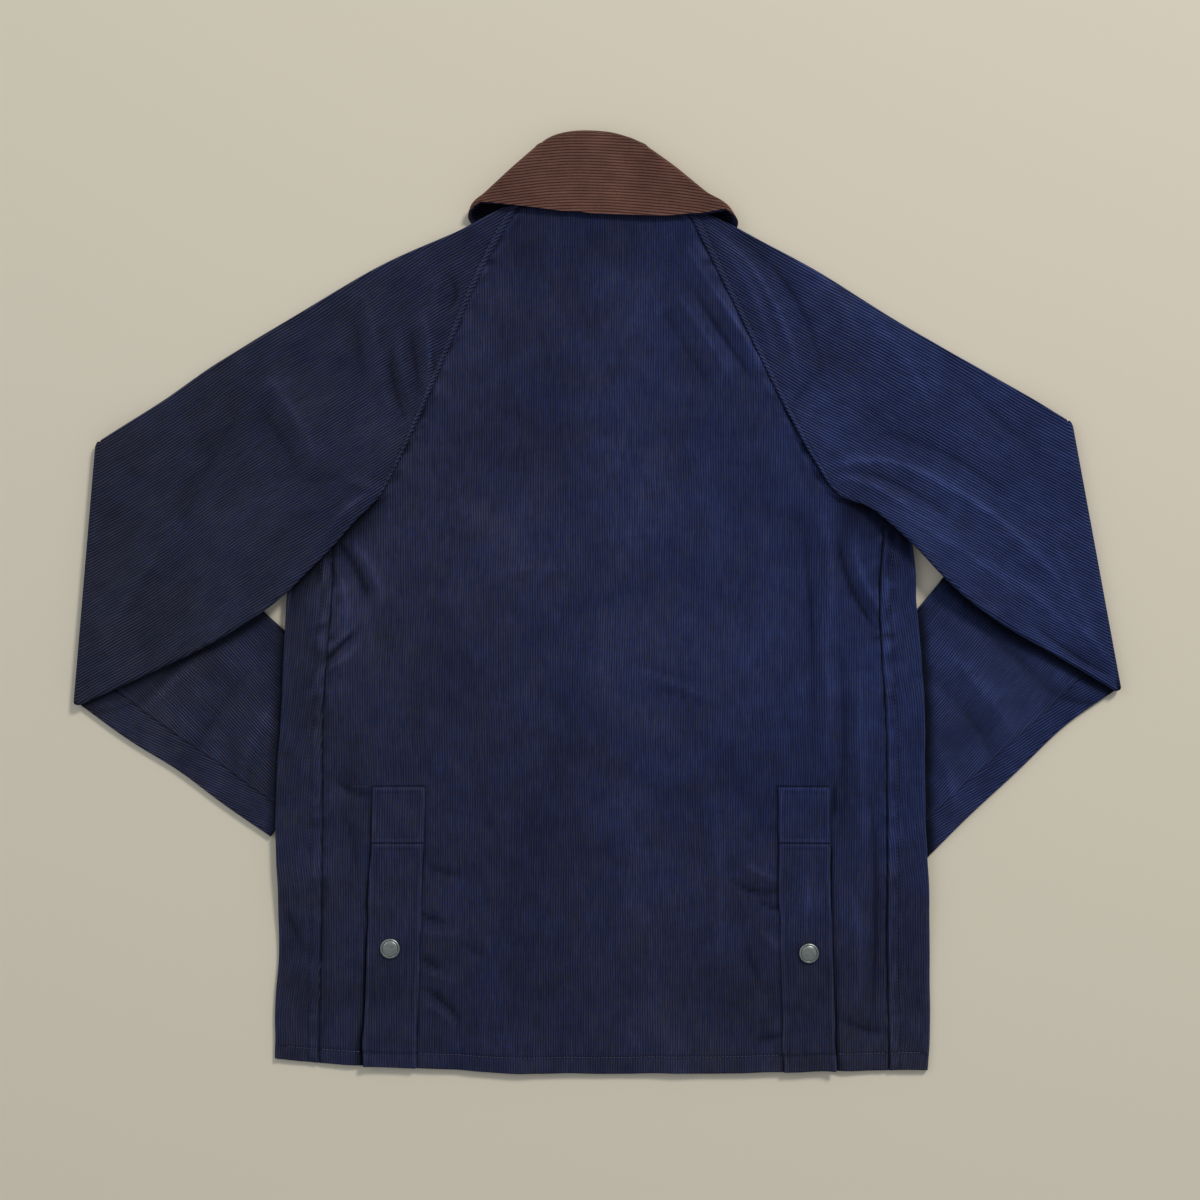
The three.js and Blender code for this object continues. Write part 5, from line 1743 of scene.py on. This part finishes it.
class JacketStage(PropertyGroup):
    floor: colour("Floor", "Colour of the plain floor", (0.66, 0.61, 0.50))
    height: length("Camera height", "From the floor to the camera", 1.71, 0.5, 5.0)
    key: FloatProperty(name="Key light", description="Power of the main light", default=112.0,
                       min=0.0, unit="POWER")
    fill: FloatProperty(name="Fill", description="Strength of the light from all round",
                        default=0.42, min=0.0, max=5.0, subtype="FACTOR")


# ---------------------------------------------------------------- operators
class JACKET_OT_back(Operator):
    """Builds the back panel"""

    bl_idname = "jacket.back"
    bl_label = "Back panel"

    def execute(self, context):
        cloth(build_back(), ["back_panel"], "navy_corduroy", navy(), flat=(490, 745),
              area=330000, rests_on=["front_left", "front_right"], soft=BODY_SOFT)
        return {"FINISHED"}


class JACKET_OT_fronts(Operator):
    """Builds both fronts, which wrap round the sides to the side seams"""

    bl_idname = "jacket.fronts"
    bl_label = "Fronts"

    def execute(self, context):
        for side in SIGN:
            cloth(build_front(side), [f"front_{side}"], "navy_corduroy", navy(),
                  flat=(320, 725), area=176000, soft=BODY_SOFT)
        return {"FINISHED"}


class JACKET_OT_sleeves(Operator):
    """Builds both sleeves, folded under at the elbow"""

    bl_idname = "jacket.sleeves"
    bl_label = "Sleeves"

    def execute(self, context):
        for side in SIGN:
            cloth(build_sleeve(side), [f"sleeve_{side}"], "navy_corduroy", navy(),
                  flat=(560, 610), area=215000, held="folded", soft=SLEEVE_FORM[side]["soft"])
        return {"FINISHED"}


class JACKET_OT_collar(Operator):
    """Builds the collar's brown top ply and navy under ply"""

    bl_idname = "jacket.collar"
    bl_label = "Collar"

    def execute(self, context):
        cut = {"flat": (480, 130), "area": 45000, "held": "folded"}
        top = build_collar("collar_top_cloth", offsets=(PLY + PLY_GAP, PLY_GAP), past_edge=0.0,
                           tones=(1.2, 1.05, 1.0), mottle=0.14)
        cloth(top, ["collar_top"], "brown_corduroy", brown(), soft=0.15, **cut)
        # The under ply is painted nearly black back from its rim: painted shade in the collar's
        # hollows.
        under = build_collar("collar_under_cloth", offsets=(-PLY_GAP, -PLY - PLY_GAP),
                             past_edge=1.5, tones=(0.8, 0.6, 0.12), mottle=0.0)
        cloth(under, ["collar_under"], "navy_corduroy", navy(), **cut)
        return {"FINISHED"}


class JACKET_OT_vents(Operator):
    """Builds the strip and the square tab of each hem vent"""

    bl_idname = "jacket.vents"
    bl_label = "Vents"

    def execute(self, context):
        for side in VENTS:
            for kind, flat, area in (("strip", (46, 197), 9050), ("tab", (45, 48), 2150)):
                piece = build_patch(side, kind == "tab")
                cloth(piece, [f"vent_{kind}_{side}"], "navy_corduroy", navy(), flat, area,
                      rests_on=["back_panel"], soft=BODY_SOFT)
        return {"FINISHED"}


class JACKET_OT_studs(Operator):
    """Builds the metal cap of the stud on each vent strip"""

    bl_idname = "jacket.studs"
    bl_label = "Studs"

    def execute(self, context):
        metal = once(old_metal, "dulled steel", tuple(context.scene.jacket_trim.metal))
        for side in STUDS:
            cap = build_stud(side)
            cap.data.materials.append(metal)
            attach(cap, "root")
            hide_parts(f"stud_{side}")
        return {"FINISHED"}


class JACKET_OT_stitching(Operator):
    """Sews the visible stitch lines: hem, seams and vents"""

    bl_idname = "jacket.stitching"
    bl_label = "Stitching"

    def execute(self, context):
        stitches("hem_stitching", hem_lines(), gap=0.4, width=0.5)
        stitches("vent_stitching", vent_lines(), gap=0.4, width=0.3)
        stitches("seam_stitching", seam_lines())
        return {"FINISHED"}


class JACKET_OT_zip(Operator):
    """Gives the closed front zip its woven tape"""

    bl_idname = "jacket.zip"
    bl_label = "Zip"

    def execute(self, context):
        tape = once(woven_tape, "zip tape", tuple(context.scene.jacket_trim.tape))
        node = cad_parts["front_zip"]
        node.data.materials.clear()
        node.data.materials.append(tape)
        return {"FINISHED"}


class JACKET_OT_stage(Operator):
    """Lays the plain floor, and sets the lights and the camera"""

    bl_idname = "jacket.stage"
    bl_label = "Stage"

    def execute(self, context):
        s = context.scene.jacket_stage
        scene = context.scene
        bpy.ops.mesh.primitive_plane_add(size=6.0, location=(0, 0, BEFORE[0].z - 0.0002))
        floor = context.object
        floor.name = "floor"
        n = Nodes("plain floor")
        n.surface(Base_Color=(*s.floor, 1), Roughness=0.85, Specular_IOR_Level=0.2)
        floor.data.materials.append(n.material)
        world = bpy.data.worlds.new("soft light")
        scene.world = world
        world.use_nodes = True
        world.node_tree.nodes["Background"].inputs[0].default_value = (0.93, 0.96, 1.0, 1)
        world.node_tree.nodes["Background"].inputs[1].default_value = s.fill

        def lamp(name, place, size, power, tint):
            data = bpy.data.lights.new(name, "AREA")
            data.shape, data.size, data.energy, data.color = "DISK", size, power, tint
            thing = bpy.data.objects.new(name, data)
            thing.location = place
            thing.rotation_euler = (-Vector(place)).to_track_quat("-Z", "Y").to_euler()
            scene.collection.objects.link(thing)

        lamp("key", (1.87, 2.77, 2.9), 0.95, s.key, (1.0, 0.96, 0.90))
        lamp("side", (-2.4, 1.4, 2.6), 2.4, s.key * 0.16, (0.92, 0.96, 1.0))
        camera = bpy.data.cameras.new("camera")
        camera.lens, camera.sensor_width = 60, 36
        eye = bpy.data.objects.new("camera", camera)
        middle = (BEFORE[0] + BEFORE[1]) / 2
        eye.location = (middle.x + 2.3 * UNIT, middle.y + 2.6 * UNIT, s.height * UNIT * 1000)
        scene.collection.objects.link(eye)
        scene.camera = eye
        scene.view_settings.view_transform = "Standard"
        return {"FINISHED"}


class JACKET_PT_panel(Panel):
    """Lists the jacket's settings and the pieces that can be built"""

    bl_label = "Jacket"
    bl_space_type = "VIEW_3D"
    bl_region_type = "UI"
    bl_category = "Jacket"

    def draw(self, context):
        for group in GROUPS:
            for key in group.__annotations__:
                self.layout.prop(getattr(context.scene, GROUPS[group]), key)
        for operator in OPERATORS:
            self.layout.operator(operator.bl_idname)


GROUPS = {JacketCloth: "jacket_cloth", JacketTrim: "jacket_trim", JacketStage: "jacket_stage"}
OPERATORS = [
    JACKET_OT_back,
    JACKET_OT_fronts,
    JACKET_OT_sleeves,
    JACKET_OT_collar,
    JACKET_OT_vents,
    JACKET_OT_studs,
    JACKET_OT_stitching,
    JACKET_OT_zip,
    JACKET_OT_stage,
]


def register():
    for item in (*GROUPS, *OPERATORS, JACKET_PT_panel):
        bpy.utils.register_class(item)
    for group, name in GROUPS.items():
        setattr(bpy.types.Scene, name, PointerProperty(type=group))


def unregister():
    for name in GROUPS.values():
        delattr(bpy.types.Scene, name)
    for item in (JACKET_PT_panel, *reversed(OPERATORS), *GROUPS):
        bpy.utils.unregister_class(item)


def main():
    register()
    bpy.ops.jacket.back()
    bpy.ops.jacket.fronts()
    bpy.ops.jacket.sleeves()
    bpy.ops.jacket.collar()
    bpy.ops.jacket.vents()
    bpy.ops.jacket.studs()
    bpy.ops.jacket.stitching()
    bpy.ops.jacket.zip()
    bpy.ops.jacket.stage()
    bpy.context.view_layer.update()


if __name__ == "__main__":
    main()
